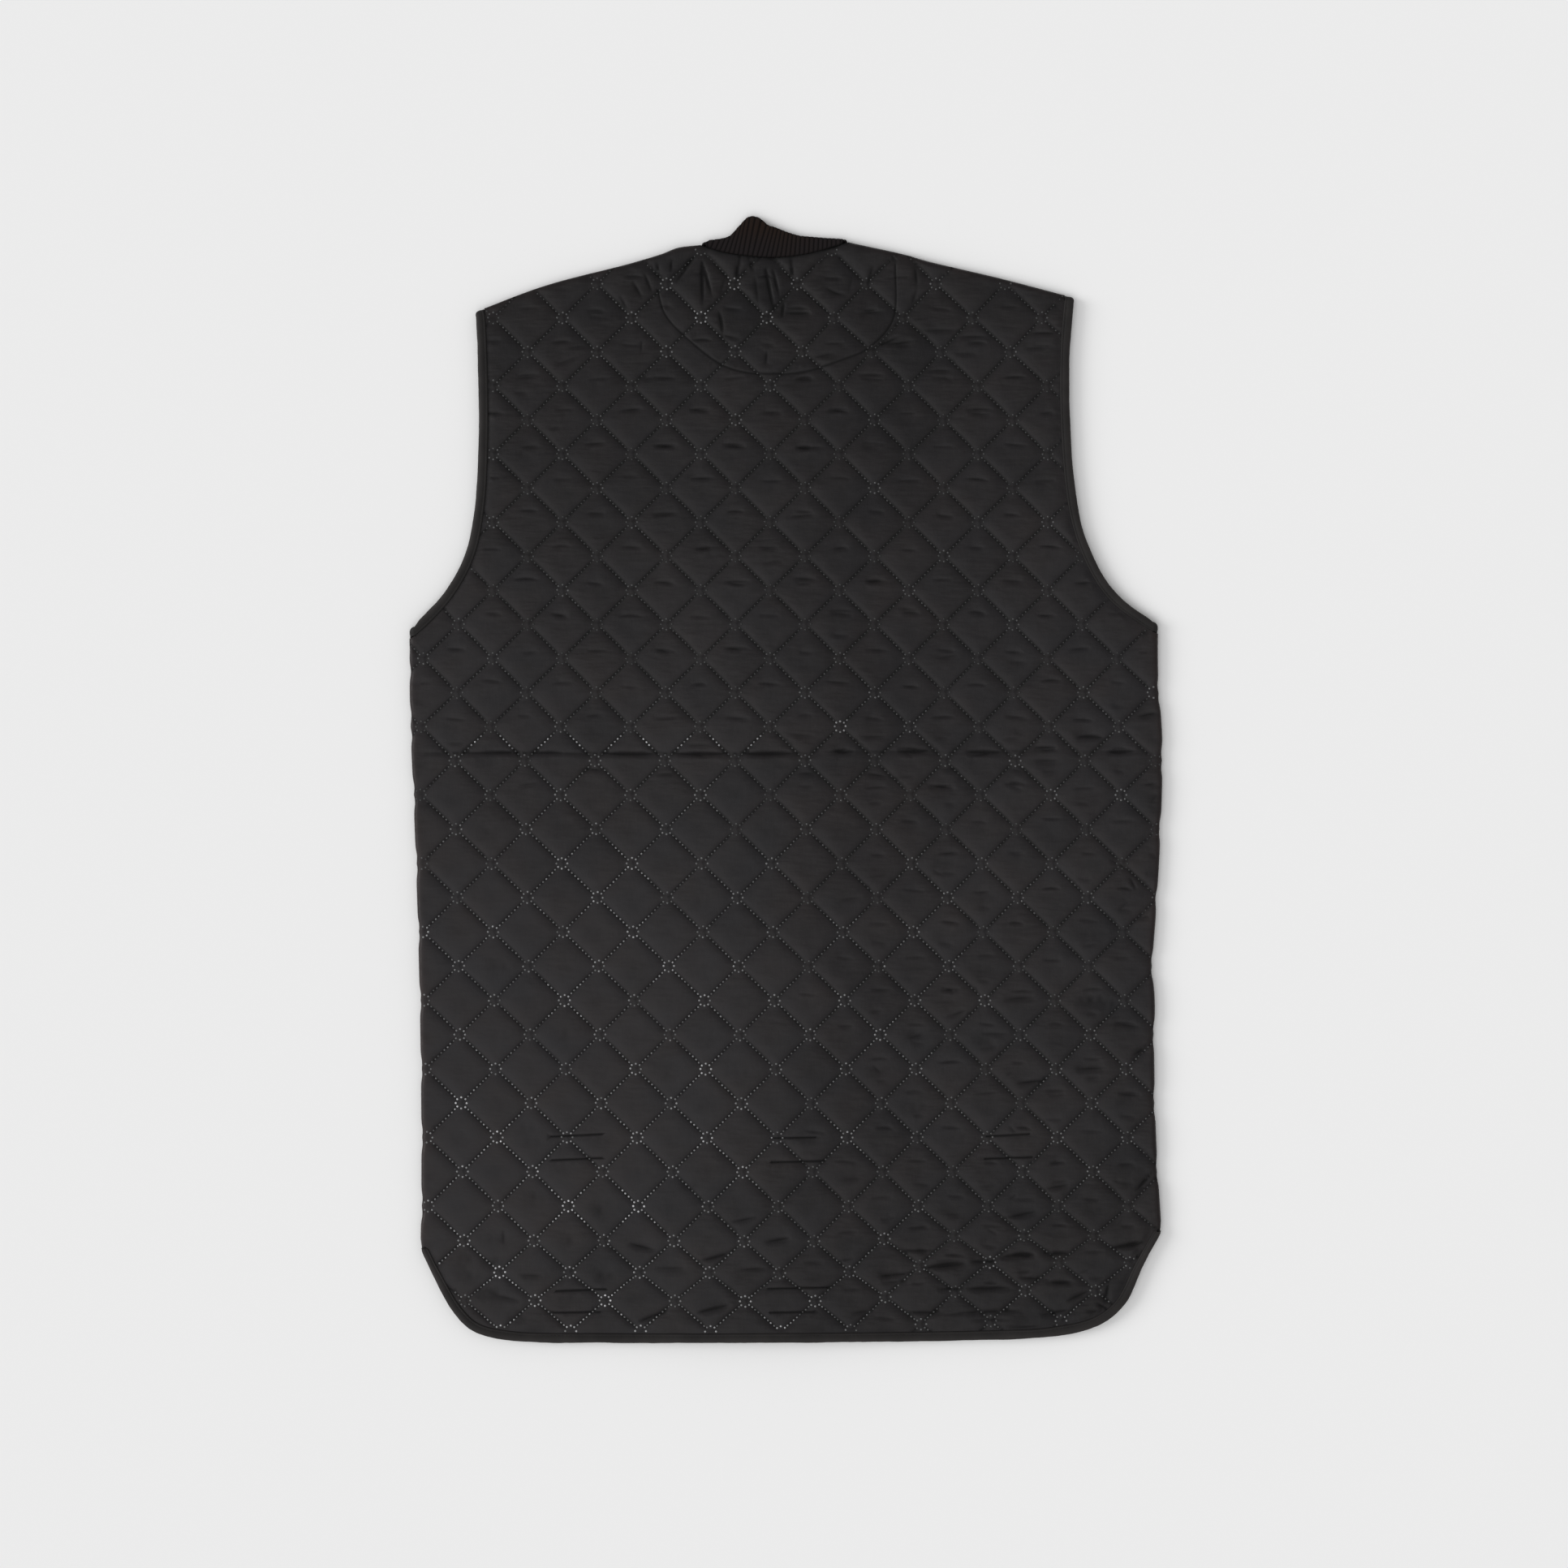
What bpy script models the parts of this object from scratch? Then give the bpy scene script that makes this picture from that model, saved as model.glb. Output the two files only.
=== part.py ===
"""Quilted sleeveless vest with a rib-knit collar, laid face down on a flat surface.

The vest lies on the plane Z = 0 with its back panel on top.  +Y runs up the garment
to the collar, +X to the right of the back view, so the wearer's left is at -X.
Sizes are in millimetres here and become metres when a mesh is made.

Each panel is a flat sheet: every point has a place in plan and the heights of its
lower and upper face.  A panel's edge is one of three kinds:
  fold   the side and shoulder seams, where back and front curve together and meet
  bound  thinned to go inside a bias binding
  neck   the edge that the rib collar is sewn to
"""

import math
from collections import namedtuple

import bmesh
import bpy
from mathutils import Vector
from mathutils.geometry import delaunay_2d_cdt

MM = 0.001
GAP = 0.3

# Cloth and layers
CLOTH = 3.0             # quilted cloth, outer cloth + wadding + inner cloth
BOUND_CLOTH = 1.2       # the same cloth pressed flat inside a binding
BIND_WIDTH = 7.0
BIND_WALL = 1.0
BIND_HIGH = BOUND_CLOTH + 2 * GAP + 2 * BIND_WALL
LAYER = BIND_HIGH + 0.35        # height of one layer above the one beneath it
SEAM_HIGH = (LAYER + CLOTH) / 2  # where back and front meet at a folded edge

# Rows of panel points inside each kind of edge: how far in from the edge line
FOLD_ROWS = (0.0, 1.2, 3.5)
BOUND_ROWS = (BIND_WALL + GAP, BIND_WIDTH + 0.4, BIND_WIDTH + 4.0)
NECK_INNER = 5.0
FOLD_LIP = SEAM_HIGH + GAP / 2   # lower face of the back panel at a folded edge
FOLD_OUTER = (4.9, 6.4, LAYER + CLOTH)   # upper face of the back panel, a row each
NECK_PINCH = 0.4        # how much the seam draws in each face at the neck
SEAM_END = 6.0          # the side seam's fold ends this far above the hem binding
BIND_START = 1.2        # the cloth is thin from this far before a binding's end
TURN = BIND_HIGH / 2 + LAYER / 2    # outer radius of a binding round a folded edge
SHUT = BIND_WIDTH - 0.4     # a binding's slot is shut where it goes round a fold

# Spacing of points
STEP = 42.0             # longest step along an edge
SAG = 0.6               # most that a step may leave its curve
NECK_STEP = 13.0        # the same round the neck
NECK_SAG = 0.4
INNER_STEP = 58.0       # grid of points inside a panel
INNER_CLEAR = 16.0      # the grid stays this far from the other points

# Outline of the laid back: a row for each place that shapes it
Place = namedtuple("Place", "name across height")

LEFT_SIDE = (
    Place("side seam end", -270.4, -347.0),
    Place("low hip", -269.8, -300.0),
    Place("hip", -270.3, -204.0),
    Place("high hip", -272.2, -114.0),
    Place("waist", -275.2, -24.0),
    Place("under chest", -278.1, 48.0),
    Place("underarm", -278.6, 110.5),
)
RIGHT_SIDE = (
    Place("side seam end", 277.8, -334.0),
    Place("low hip", 273.8, -264.0),
    Place("hip", 272.4, -204.0),
    Place("hip puff", 272.8, -164.0),
    Place("dent", 271.2, -138.0),
    Place("high hip", 273.6, -100.0),
    Place("waist", 276.8, -44.0),
    Place("fold", 278.5, 24.0),
    Place("under chest", 275.2, 82.0),
    Place("underarm", 275.2, 114.0),
)
LEFT_ARMHOLE = (
    Place("underarm", -278.6, 110.5),
    Place("turn", -252.8, 138.4),
    Place("lower curve", -237.8, 165.4),
    Place("curve", -230.4, 199.0),
    Place("deepest", -227.4, 250.0),
    Place("upper", -227.8, 306.0),
    Place("shoulder tip", -229.4, 346.2),
)
RIGHT_ARMHOLE = (
    Place("underarm", 275.2, 114.0),
    Place("turn", 243.6, 138.4),
    Place("lower curve", 227.0, 165.4),
    Place("curve", 216.4, 199.0),
    Place("deepest", 210.4, 258.0),
    Place("upper", 210.0, 318.0),
    Place("shoulder tip", 213.0, 356.4),
)
LEFT_SHOULDER = (
    Place("shoulder tip", -229.4, 346.2),
    Place("middle", -178.0, 365.4),
    Place("ripple", -116.0, 381.6),
    Place("gather", -92.0, 388.8),
    Place("gather top", -80.0, 393.4),
    Place("neck point", -63.4, 395.4),
)
RIGHT_SHOULDER = (
    Place("shoulder tip", 213.0, 356.4),
    Place("middle", 158.0, 370.8),
    Place("ripple", 104.0, 383.6),
    Place("gather", 88.0, 388.2),
    Place("neck point", 46.4, 397.4),
)
BACK_NECK = (
    Place("left neck point", -63.4, 395.4),
    Place("left quarter", -46.0, 389.6),
    Place("lowest", -12.0, 386.0),
    Place("right quarter", 14.0, 388.2),
    Place("right neck point", 46.4, 397.4),
)
HEM = (
    Place("left seam end", -270.4, -347.0),
    Place("left slant", -261.6, -365.6),
    Place("left corner", -245.2, -395.2),
    Place("left round", -230.6, -408.4),
    Place("left hem", -204.0, -414.8),
    Place("left middle", -130.0, -416.5),
    Place("middle", -10.0, -416.0),
    Place("right middle", 139.0, -414.7),
    Place("right hem", 199.0, -411.7),
    Place("right round", 232.0, -403.4),
    Place("right corner", 250.4, -388.4),
    Place("right slant", 264.4, -359.4),
    Place("right seam end", 277.8, -334.0),
)
HEM_MIDDLE = -416.0

# The lapped closing of the two fronts, under the back
CLOSING = (
    Place("neckline", 0.0, 311.0),
    Place("chest", 2.0, 195.0),
    Place("waist", -13.0, -110.0),
    Place("hem", -14.0, -412.0),
)
LAP = 15.0              # each front passes the closing line by this much
CLIMB = (LAP + 3.0, LAP + 25.0)  # where a cloth climbs over the lap's edge
BOTH_CLIMBS = (-CLIMB[1], -CLIMB[0], CLIMB[0], CLIMB[1])
CLIMB_STEP = 75.0       # spacing of the points along the climb
BACK_SETTLES = (352.0, 374.0)    # the back comes down again between these heights

FRONT_NECK_DROP = 84.0  # front neckline below the neck points
FRONT_SCOOP = 9.0       # the front armhole is cut this much deeper
FRONT_HEM_RISE = 4.0
FRONT_CORNER = 30.0     # radius of each front's lower corner

# Folds pressed into the cloth: a row each, with its ends and its depth
Fold = namedtuple("Fold", "name across_0 height_0 across_1 height_1 depth")
FOLD_HALF = 9.0         # half width of a fold's trough
BACK_FOLDS = (
    Fold("crease left of the middle", -252.0, 17.5, -62.0, 19.5, 1.2),
    Fold("crease right of the middle", 62.0, 20.5, 236.0, 24.5, 1.0),
    Fold("slack above the hem", 92.0, -347.0, 236.0, -330.0, 1.3),
)
LEFT_FRONT_FOLDS = (
    Fold("crease", -250.0, 18.0, -40.0, 19.0, 1.0),
)
RIGHT_FRONT_FOLDS = (
    Fold("crease", 52.0, 20.0, 250.0, 22.0, 1.0),
)

# Rib collar
RIB = 1.6
BAND = 36.0             # height of the whole band
RIB_FOLDED = 2.75       # height of its wall where it is folded under the back
Wale = namedtuple("Wale", "name foot across height")
COLLAR_WALES = (        # where ribs that start along the neck seam reach the outline
    Wale("left neck point", -63.0, -63.2, 398.6),
    Wale("left foot", -53.0, -49.0, 400.0),
    Wale("left slope", -46.0, -41.0, 402.6),
    Wale("left rise", -41.5, -35.5, 408.2),
    Wale("left shoulder of the peak", -37.0, -31.0, 413.8),
    Wale("peak", -31.5, -26.4, 417.4),
    Wale("right of the peak", -27.0, -20.8, 416.2),
    Wale("right shoulder of the peak", -22.0, -14.5, 411.0),
    Wale("right slope", -13.0, -7.5, 408.6),
    Wale("lower slope", -4.0, -0.8, 405.8),
    Wale("flat", 8.0, 9.0, 402.6),
    Wale("right flat", 28.0, 28.5, 400.9),
    Wale("right neck point", 46.0, 45.6, 400.0),
)
COLLAR_BACK_SECTIONS = 19
NECK_CLEAR = 0.45       # gap between the neck edges and the band
FOLD_RUN = 4.55         # length of the band that the fold takes up
SHORT_RUN = 0.4         # straight piece between the seam and the fold, at least
UNFOLD = (              # the fold opens out round each neck point
    (135.0, 4.2, 0.6),  # degrees turned, and the seam's place from the neck point
    (90.0, 2.6, 1.2),
    (45.0, 1.2, -1.0),
)

# Press studs
SNAPS = 6
SNAP_TOP = 284.0        # height of the highest stud
SNAP_PITCH = 117.0
SNAP_SIDES = 10
CAP_RADIUS = 5.0
CAP_HIGH = 1.0
STUD_RADIUS = 4.4
DIMPLE_SIDES = 8
DIMPLE = (5.9, 7.0)     # radii of the pressed place round a stud, floor and rim
DIMPLE_FLOOR = CAP_HIGH + GAP    # the left front is raised this much over a cap
DIMPLE_CLOTH = 1.2      # cloth squeezed between cap and stud
SOCKET_SINK = 0.9       # the right front is raised this much over a stud


def smooth(places, spacing=1.5):
    """Even points, 1.5 mm apart, on a centripetal spline through the places."""
    rows = [Vector((p[-2], p[-1])) for p in places]
    rows = [2 * rows[0] - rows[1]] + rows + [2 * rows[-1] - rows[-2]]
    line = []
    for a, b, c, d in zip(rows, rows[1:], rows[2:], rows[3:]):
        t1 = math.sqrt((b - a).length)
        t2 = t1 + math.sqrt((c - b).length)
        t3 = t2 + math.sqrt((d - c).length)
        count = max(2, round((c - b).length / spacing))
        for k in range(count):
            t = t1 + (t2 - t1) * k / count
            ab = a + (b - a) * (t / t1)
            bc = b + (c - b) * ((t - t1) / (t2 - t1))
            cd = c + (d - c) * ((t - t2) / (t3 - t2))
            abc = ab + (bc - ab) * (t / t2)
            bcd = bc + (cd - bc) * ((t - t1) / (t3 - t1))
            line.append(abc + (bcd - abc) * ((t - t1) / (t2 - t1)))
    line.append(rows[-2])
    return line


def at_height(line, height):
    """Where a line that runs up or down crosses a height."""
    for a, b in zip(line, line[1:]):
        low, high = min(a.y, b.y), max(a.y, b.y)
        if low <= height <= high and high > low:
            return a.x + (b.x - a.x) * (height - a.y) / (b.y - a.y)
    nearest = min(line, key=lambda p: abs(p.y - height))
    return nearest.x


CLOSING_LINE = [Vector((p.across, p.height)) for p in CLOSING]


def closing(height):
    return at_height(CLOSING_LINE, height)


def ramp(value, full, none):
    """1 at full, 0 at none, straight between."""
    return min(1.0, max(0.0, (none - value) / (none - full)))


def front_left_base(x, y):
    return 0.0


def front_right_base(x, y):
    """The right front climbs over the left one's edge and lies on it."""
    return LAYER * ramp(x - closing(y), *CLIMB)


def back_base(x, y):
    """The back lies on both fronts, and on both of them at the lap."""
    lap = ramp(abs(x - closing(y)), *CLIMB)
    return LAYER + LAYER * lap * ramp(y, *BACK_SETTLES)


Station = namedtuple("Station", "at inward")


def inward_at(line, k, interior):
    """Square to a line at one of its points, towards the panel."""
    last = len(line) - 1
    along = (line[min(k + 2, last)] - line[max(k - 2, 0)]).normalized()
    return Vector((along.y, -along.x)) * interior


def stations(line, interior, cuts=(), step=STEP, sag=SAG):
    """Places along a line, close where it bends, each with its inward direction.

    interior is 1 when the panel is on the right of the line's travel, -1 on its left.
    A station is also put at each index in cuts.
    """
    chosen = [0]
    last = len(line) - 1
    stops = sorted(set(cuts) | {last})
    while chosen[-1] < last:
        start = chosen[-1]
        stop = next(s for s in stops if s > start)
        reach = start + 1
        while reach < stop:
            trial = reach + 1
            chord = line[trial] - line[start]
            off = max(
                abs(chord.cross(p - line[start])) for p in line[start + 1:trial]
            ) / chord.length
            if chord.length > step or off > sag:
                break
            reach = trial
        chosen.append(reach)
    return [Station(line[k], inward_at(line, k, interior)) for k in chosen]


def nearest_index(line, across):
    return min(range(len(line)), key=lambda k: abs(line[k].x - across))


class Panel:
    """Points of a cloth panel, its outline and the lines its facets keep to."""

    def __init__(self, base):
        self.base = base
        self.points = []
        self.outline = []
        self.lines = []

    def keep_line(self, row):
        self.lines += list(zip(row, row[1:]))

    def add(self, at, low, high):
        self.points.append((at.x, at.y, low, high))
        return len(self.points) - 1

    def add_flat(self, at, low=0.0, high=CLOTH):
        """A point whose faces are measured from what the panel lies on."""
        base = self.base(at.x, at.y)
        return self.add(at, base + low, base + high)

    def clear_of(self, at, distance):
        return all(
            math.hypot(at.x - x, at.y - y) >= distance for x, y, _, _ in self.points
        )

    def mesh(self):
        """Facets of both faces and the edge wall between them."""
        plan = [Vector((x, y)) for x, y, _, _ in self.points]
        rim = [(a, b) for a, b in zip(self.outline, self.outline[1:])]
        rim.append((self.outline[-1], self.outline[0]))
        places, _, triangles, origin, _, _ = delaunay_2d_cdt(
            plan, rim + self.lines, [self.outline], 1, 1e-5
        )
        heights = [self.points[o[0]][2:] for o in origin]
        count = len(places)
        vertices = [(p.x, p.y, h[0]) for p, h in zip(places, heights)]
        vertices += [(p.x, p.y, h[1]) for p, h in zip(places, heights)]
        faces = [tuple(reversed(t)) for t in triangles]
        faces += [tuple(count + k for k in t) for t in triangles]
        sides = {}
        for t in triangles:
            for a, b in zip(t, t[1:] + t[:1]):
                sides[(a, b)] = True
        for a, b in sides:
            if (b, a) not in sides:
                faces.append((a, b, count + b, count + a))
        return vertices, faces


def bound_heights(base):
    low = base + (BIND_HIGH - BOUND_CLOTH) / 2
    return low, low + BOUND_CLOTH


def add_thin(panel, at):
    return panel.add(at, *bound_heights(panel.base(at.x, at.y)))


def add_bound_edge(panel, run, first=None, last=None):
    """Edge points inside a binding and the two rows beside them.

    The row at the binding's mouth runs from first to last, which are points of the
    panel, or from and to the edge itself.
    """
    edge, mouth = [], []
    for place in run:
        edge.append(add_thin(panel, place.at + BOUND_ROWS[0] * place.inward))
    inner = run if first is None else run[1:] if last is None else run
    for place in inner:
        at = place.at + BOUND_ROWS[1] * place.inward
        if panel.clear_of(at, 2.0):
            mouth.append(add_thin(panel, at))
    for place in run:
        at = place.at + BOUND_ROWS[2] * place.inward
        if panel.clear_of(at, 3.0):
            panel.add_flat(at)
    start = edge[0] if first is None else first
    end = edge[-1] if last is None else last
    panel.keep_line([start] + mouth + [end])
    return edge


def fold_heights(is_back, row):
    """Faces of a panel at a row of a folded edge."""
    low = LAYER if row == len(FOLD_ROWS) - 1 else FOLD_LIP
    high = FOLD_OUTER[row]
    if is_back:
        return low, high
    whole = LAYER + CLOTH
    return whole - high, whole - low


def add_fold_edge(panel, run, is_back):
    edge = []
    for place in run:
        for row, inset in enumerate(FOLD_ROWS):
            at = place.at + inset * place.inward
            low, high = fold_heights(is_back, row)
            if row == 0:
                edge.append(panel.add(at, low, high))
            elif panel.clear_of(at, 0.9):
                panel.add(at, low, high)
    return edge


def add_neck_edge(panel, run):
    edge = []
    for place in run:
        edge.append(panel.add_flat(place.at, NECK_PINCH, CLOTH - NECK_PINCH))
    for place in run:
        inner = place.at + NECK_INNER * place.inward
        if panel.clear_of(inner, 3.0):
            panel.add_flat(inner)
    return edge


Corner = namedtuple("Corner", "at axis inward")


def fold_corner(at, towards, interior):
    """The end of a folded edge that a binding goes round.

    axis runs from the corner along the folded edge, inward is square to it.
    """
    axis = (towards - at).normalized()
    inward = Vector((axis.y, -axis.x)) * interior
    return Corner(at, axis, inward)


def trim_to_turn(run, corner):
    """Drops the stations that lie in the binding's turn at a corner."""
    clear = TURN + 3.0
    return [s for s in run if (s.at - corner.at).dot(corner.inward) > clear]


def corner_notch(panel, corner, is_back):
    """The panel stops short of the binding's turn: a point inside, one at the fold."""
    short = corner.at + (BIND_WIDTH + GAP) * corner.axis
    inside = add_thin(panel, short + TURN * corner.inward)
    at_fold = panel.add(short, *fold_heights(is_back, 0))
    return inside, at_fold


def armhole_run(line, low_corner, high_corner, interior):
    run = stations(line, interior)
    return trim_to_turn(trim_to_turn(run, low_corner), high_corner)


def side_run(line, interior, start_clear, end_clear):
    """Stations of a folded edge between its two ends' own pieces."""
    length = [0.0]
    for a, b in zip(line, line[1:]):
        length.append(length[-1] + (b - a).length)
    kept = [
        p for p, s in zip(line, length) if start_clear <= s <= length[-1] - end_clear
    ]
    return stations(kept, interior)


def inset_line(line, interior, amount):
    """The line moved inward; amount gives how far for each share of its length."""
    last = len(line) - 1
    return [
        p + amount(k / last) * inward_at(line, k, interior) for k, p in enumerate(line)
    ]


def add_folds(panel, folds):
    """Three lines of points for each pressed fold: its bottom and its two sides."""
    for fold in folds:
        start = Vector((fold.across_0, fold.height_0))
        end = Vector((fold.across_1, fold.height_1))
        along = (end - start).normalized()
        square = Vector((-along.y, along.x)) * FOLD_HALF
        count = max(2, round((end - start).length / INNER_STEP))
        for side in (-1, 0, 1):
            row = []
            for k in range(count + 1):
                share = k / count
                drop = 0.0 if side else fold.depth * math.sin(math.pi * share) ** 0.5
                at = start.lerp(end, share) + side * square
                row.append(panel.add_flat(at, 0.0, CLOTH - drop))
            panel.keep_line(row)


def add_climb(panel, offsets, low_end, high_end):
    """Lines of points where a panel starts and ends its climb over the lap."""
    bends = [p.height for p in CLOSING if low_end < p.height < high_end]
    heights = sorted(set(bends + [low_end, high_end]))
    levels = [heights[0]]
    for a, b in zip(heights, heights[1:]):
        count = max(1, round((b - a) / CLIMB_STEP))
        levels += [a + (b - a) * (k + 1) / count for k in range(count)]
    for offset in offsets:
        row = []
        for level in levels:
            row.append(panel.add_flat(Vector((closing(level) + offset, level))))
        panel.keep_line(row)


def snap_places():
    for k in range(SNAPS):
        height = SNAP_TOP - k * SNAP_PITCH
        yield k + 1, Vector((closing(height), height))


def add_dimples(panel, floor, roof):
    """A pressed round place at each stud; floor and roof are its faces."""
    for _, centre in snap_places():
        panel.add_flat(centre, floor, roof)
        for radius, low, high in ((DIMPLE[0], floor, roof), (DIMPLE[1], 0.0, CLOTH)):
            ring = []
            for k in range(DIMPLE_SIDES):
                turn = 2 * math.pi * (k + 0.5) / DIMPLE_SIDES
                at = centre + radius * Vector((math.cos(turn), math.sin(turn)))
                ring.append(panel.add_flat(at, low, high))
            panel.keep_line(ring + ring[:1])


def inside_polygon(at, polygon):
    inside = False
    for a, b in zip(polygon, polygon[1:] + polygon[:1]):
        if (a.y > at.y) != (b.y > at.y):
            if at.x < a.x + (b.x - a.x) * (at.y - a.y) / (b.y - a.y):
                inside = not inside
    return inside


def distance_to_edges(at, polygon):
    nearest = math.inf
    for a, b in zip(polygon, polygon[1:] + polygon[:1]):
        side = b - a
        share = min(1.0, max(0.0, (at - a).dot(side) / side.length_squared))
        nearest = min(nearest, (a + share * side - at).length)
    return nearest


def fill_inside(panel):
    """A diamond grid of points over what is left of the panel."""
    polygon = [Vector(panel.points[k][:2]) for k in panel.outline]
    for row in range(-20, 21):
        for column in range(-14, 15):
            shift = 0.5 if row % 2 else 0.0
            at = Vector(((column + shift) * INNER_STEP, row * INNER_STEP * 0.5))
            if not inside_polygon(at, polygon):
                continue
            if distance_to_edges(at, polygon) < INNER_CLEAR + BIND_WIDTH:
                continue
            if panel.clear_of(at, INNER_CLEAR):
                panel.add_flat(at)


class Half:
    """One side's edge lines, all travelling up the garment."""

    def __init__(self, side, armhole, shoulder, interior):
        self.interior = interior
        self.side = smooth(side)
        self.armhole = smooth(armhole)
        self.shoulder = smooth(shoulder)
        underarm = self.side[-1]
        self.underarm = fold_corner(underarm, self.side[-8], -interior)
        tip = self.shoulder[0]
        self.tip = fold_corner(tip, self.shoulder[8], interior)
        self.front_armhole = inset_line(
            self.armhole, interior, lambda s: FRONT_SCOOP * math.sin(math.pi * s) ** 1.5
        )

    def side_stations(self):
        return side_run(self.side, self.interior, SEAM_END, BIND_WIDTH + 4.0)

    def shoulder_stations(self):
        return side_run(self.shoulder, self.interior, BIND_WIDTH + 4.0, 4.0)

    def armhole_stations(self, is_back):
        line = self.armhole if is_back else self.front_armhole
        return armhole_run(line, self.underarm, self.tip, self.interior)


def add_half(panel, half, is_back):
    """Edge points of one half, from its side seam's end up to its neck point."""
    edge = add_fold_edge(panel, half.side_stations(), is_back)
    low_inside, low_fold = corner_notch(panel, half.underarm, is_back)
    high_inside, high_fold = corner_notch(panel, half.tip, is_back)
    edge += [low_fold, low_inside]
    edge += add_bound_edge(
        panel, half.armhole_stations(is_back), low_inside, high_inside
    )
    edge += [high_inside, high_fold]
    return edge + add_fold_edge(panel, half.shoulder_stations(), is_back)


def before_start(run):
    """The run with its first station moved back, just outside the binding's end."""
    first, second = run[0], run[1]
    back = (first.at - second.at).normalized() * BIND_START
    return [Station(first.at + back, first.inward)] + list(run)


def back_hem_line():
    return smooth(HEM)


def back_hem_stations():
    line = back_hem_line()
    cuts = [
        nearest_index(line, closing(HEM_MIDDLE) + offset) for offset in BOTH_CLIMBS
    ]
    return stations(line, -1, cuts)


def back_neck_stations():
    """Even stations along the back neck, which the collar shares."""
    line = smooth(BACK_NECK)
    last = len(line) - 1
    count = COLLAR_BACK_SECTIONS - 1
    chosen = [round(last * k / count) for k in range(count + 1)]
    return [Station(line[k], inward_at(line, k, 1)) for k in chosen]


def back_panel(left, right):
    panel = Panel(back_base)
    left_edge = add_half(panel, left, True)
    right_edge = add_half(panel, right, True)
    neck_edge = add_neck_edge(panel, back_neck_stations())
    hem = before_start(back_hem_stations())
    hem = list(reversed(before_start(list(reversed(hem)))))
    hem_edge = add_bound_edge(panel, hem)
    panel.outline = left_edge + neck_edge
    panel.outline += list(reversed(right_edge)) + list(reversed(hem_edge))
    add_climb(panel, BOTH_CLIMBS, HEM_MIDDLE + 20.0, BACK_SETTLES[0])
    for offset in BOTH_CLIMBS:
        panel.add_flat(Vector((closing(BACK_SETTLES[1]) + offset, BACK_SETTLES[1])))
    add_folds(panel, BACK_FOLDS)
    fill_inside(panel)
    return panel


def neckline(half, direction):
    """Front neckline from a neck point, a quarter ellipse down to the closing."""
    corner = half.shoulder[-1]
    bottom = corner.y - FRONT_NECK_DROP
    middle = closing(bottom)
    steps = 60
    line = []
    for k in range(steps + 1):
        turn = math.pi / 2 * k / steps
        line.append(Vector((
            middle + (corner.x - middle) * math.cos(turn),
            corner.y - FRONT_NECK_DROP * math.sin(turn),
        )))
    line.append(Vector((middle + direction * LAP, bottom)))
    return line


def front_neck_stations(half, direction):
    """Stations of the front neckline, which the collar shares."""
    line = neckline(half, direction)
    cuts = [nearest_index(line, closing(line[-1].y) + offset) for offset in CLIMB]
    return stations(line, direction, cuts, NECK_STEP, NECK_SAG)


def front_edge_line(half, direction):
    """Hem of a front from its side seam, round the corner and up its edge."""
    hem = back_hem_line()
    if direction < 0:
        hem = list(reversed(hem))
    risen = inset_line(
        hem, -direction, lambda share: FRONT_HEM_RISE * min(1.0, share * 8.0)
    )
    edge = closing(HEM_MIDDLE) + direction * LAP
    turn_x = edge - direction * FRONT_CORNER
    line = [p for p in risen if (p.x - turn_x) * direction < -1.0]
    centre = Vector((turn_x, line[-1].y + FRONT_CORNER))
    steps = 30
    for k in range(steps + 1):
        turn = math.pi / 2 * k / steps
        line.append(centre + FRONT_CORNER * Vector((
            direction * math.sin(turn), -math.cos(turn)
        )))
    top = half.shoulder[-1].y - FRONT_NECK_DROP
    rise = 3.0
    height = line[-1].y + rise
    while height < top - rise / 2:
        line.append(Vector((closing(height) + direction * LAP, height)))
        height += rise
    line.append(Vector((closing(top) + direction * LAP, top)))
    return line


def front_edge_stations(half, direction):
    line = front_edge_line(half, direction)
    cuts = []
    if direction < 0:
        foot = [k for k in range(len(line)) if line[k].y < HEM_MIDDLE + FRONT_CORNER]
        for offset in CLIMB:
            target = closing(HEM_MIDDLE) + offset
            cuts.append(min(foot, key=lambda k: abs(line[k].x - target)))
    for place in CLOSING[1:-1]:
        at = Vector((place.across + direction * LAP, place.height))
        cuts.append(min(range(len(line)), key=lambda k: (line[k] - at).length))
    return stations(line, -direction, cuts)


def front_panel(half, direction, base, dimple):
    """direction is 1 for the left front, whose edge faces +X, and -1 for the right.

    dimple holds the heights of the cloth's two faces at a press stud.
    """
    panel = Panel(base)
    add_dimples(panel, *dimple)
    half_edge = add_half(panel, half, False)
    neck = front_neck_stations(half, direction)
    neck_edge = add_neck_edge(panel, neck[:-1])
    top = neck[-1].at
    mouth_top = add_thin(panel, top - Vector((direction * BOUND_ROWS[1], 0.0)))
    run = front_edge_stations(half, direction)
    run[-1] = Station(top, Vector((-direction, 0.0)))
    edge = add_bound_edge(panel, before_start(run), None, mouth_top)
    panel.outline = half_edge + neck_edge + [mouth_top] + list(reversed(edge))
    return panel


def front_left_panel(left):
    dimple = (DIMPLE_FLOOR, DIMPLE_FLOOR + DIMPLE_CLOTH)
    panel = front_panel(left, 1, front_left_base, dimple)
    add_folds(panel, LEFT_FRONT_FOLDS)
    fill_inside(panel)
    return panel


def front_right_panel(right):
    panel = front_panel(right, -1, front_right_base, (SOCKET_SINK, CLOTH))
    top = right.shoulder[-1].y - FRONT_NECK_DROP
    add_climb(panel, CLIMB, HEM_MIDDLE + 24.0, top - 12.0)
    add_folds(panel, RIGHT_FRONT_FOLDS)
    fill_inside(panel)
    return panel


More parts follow.
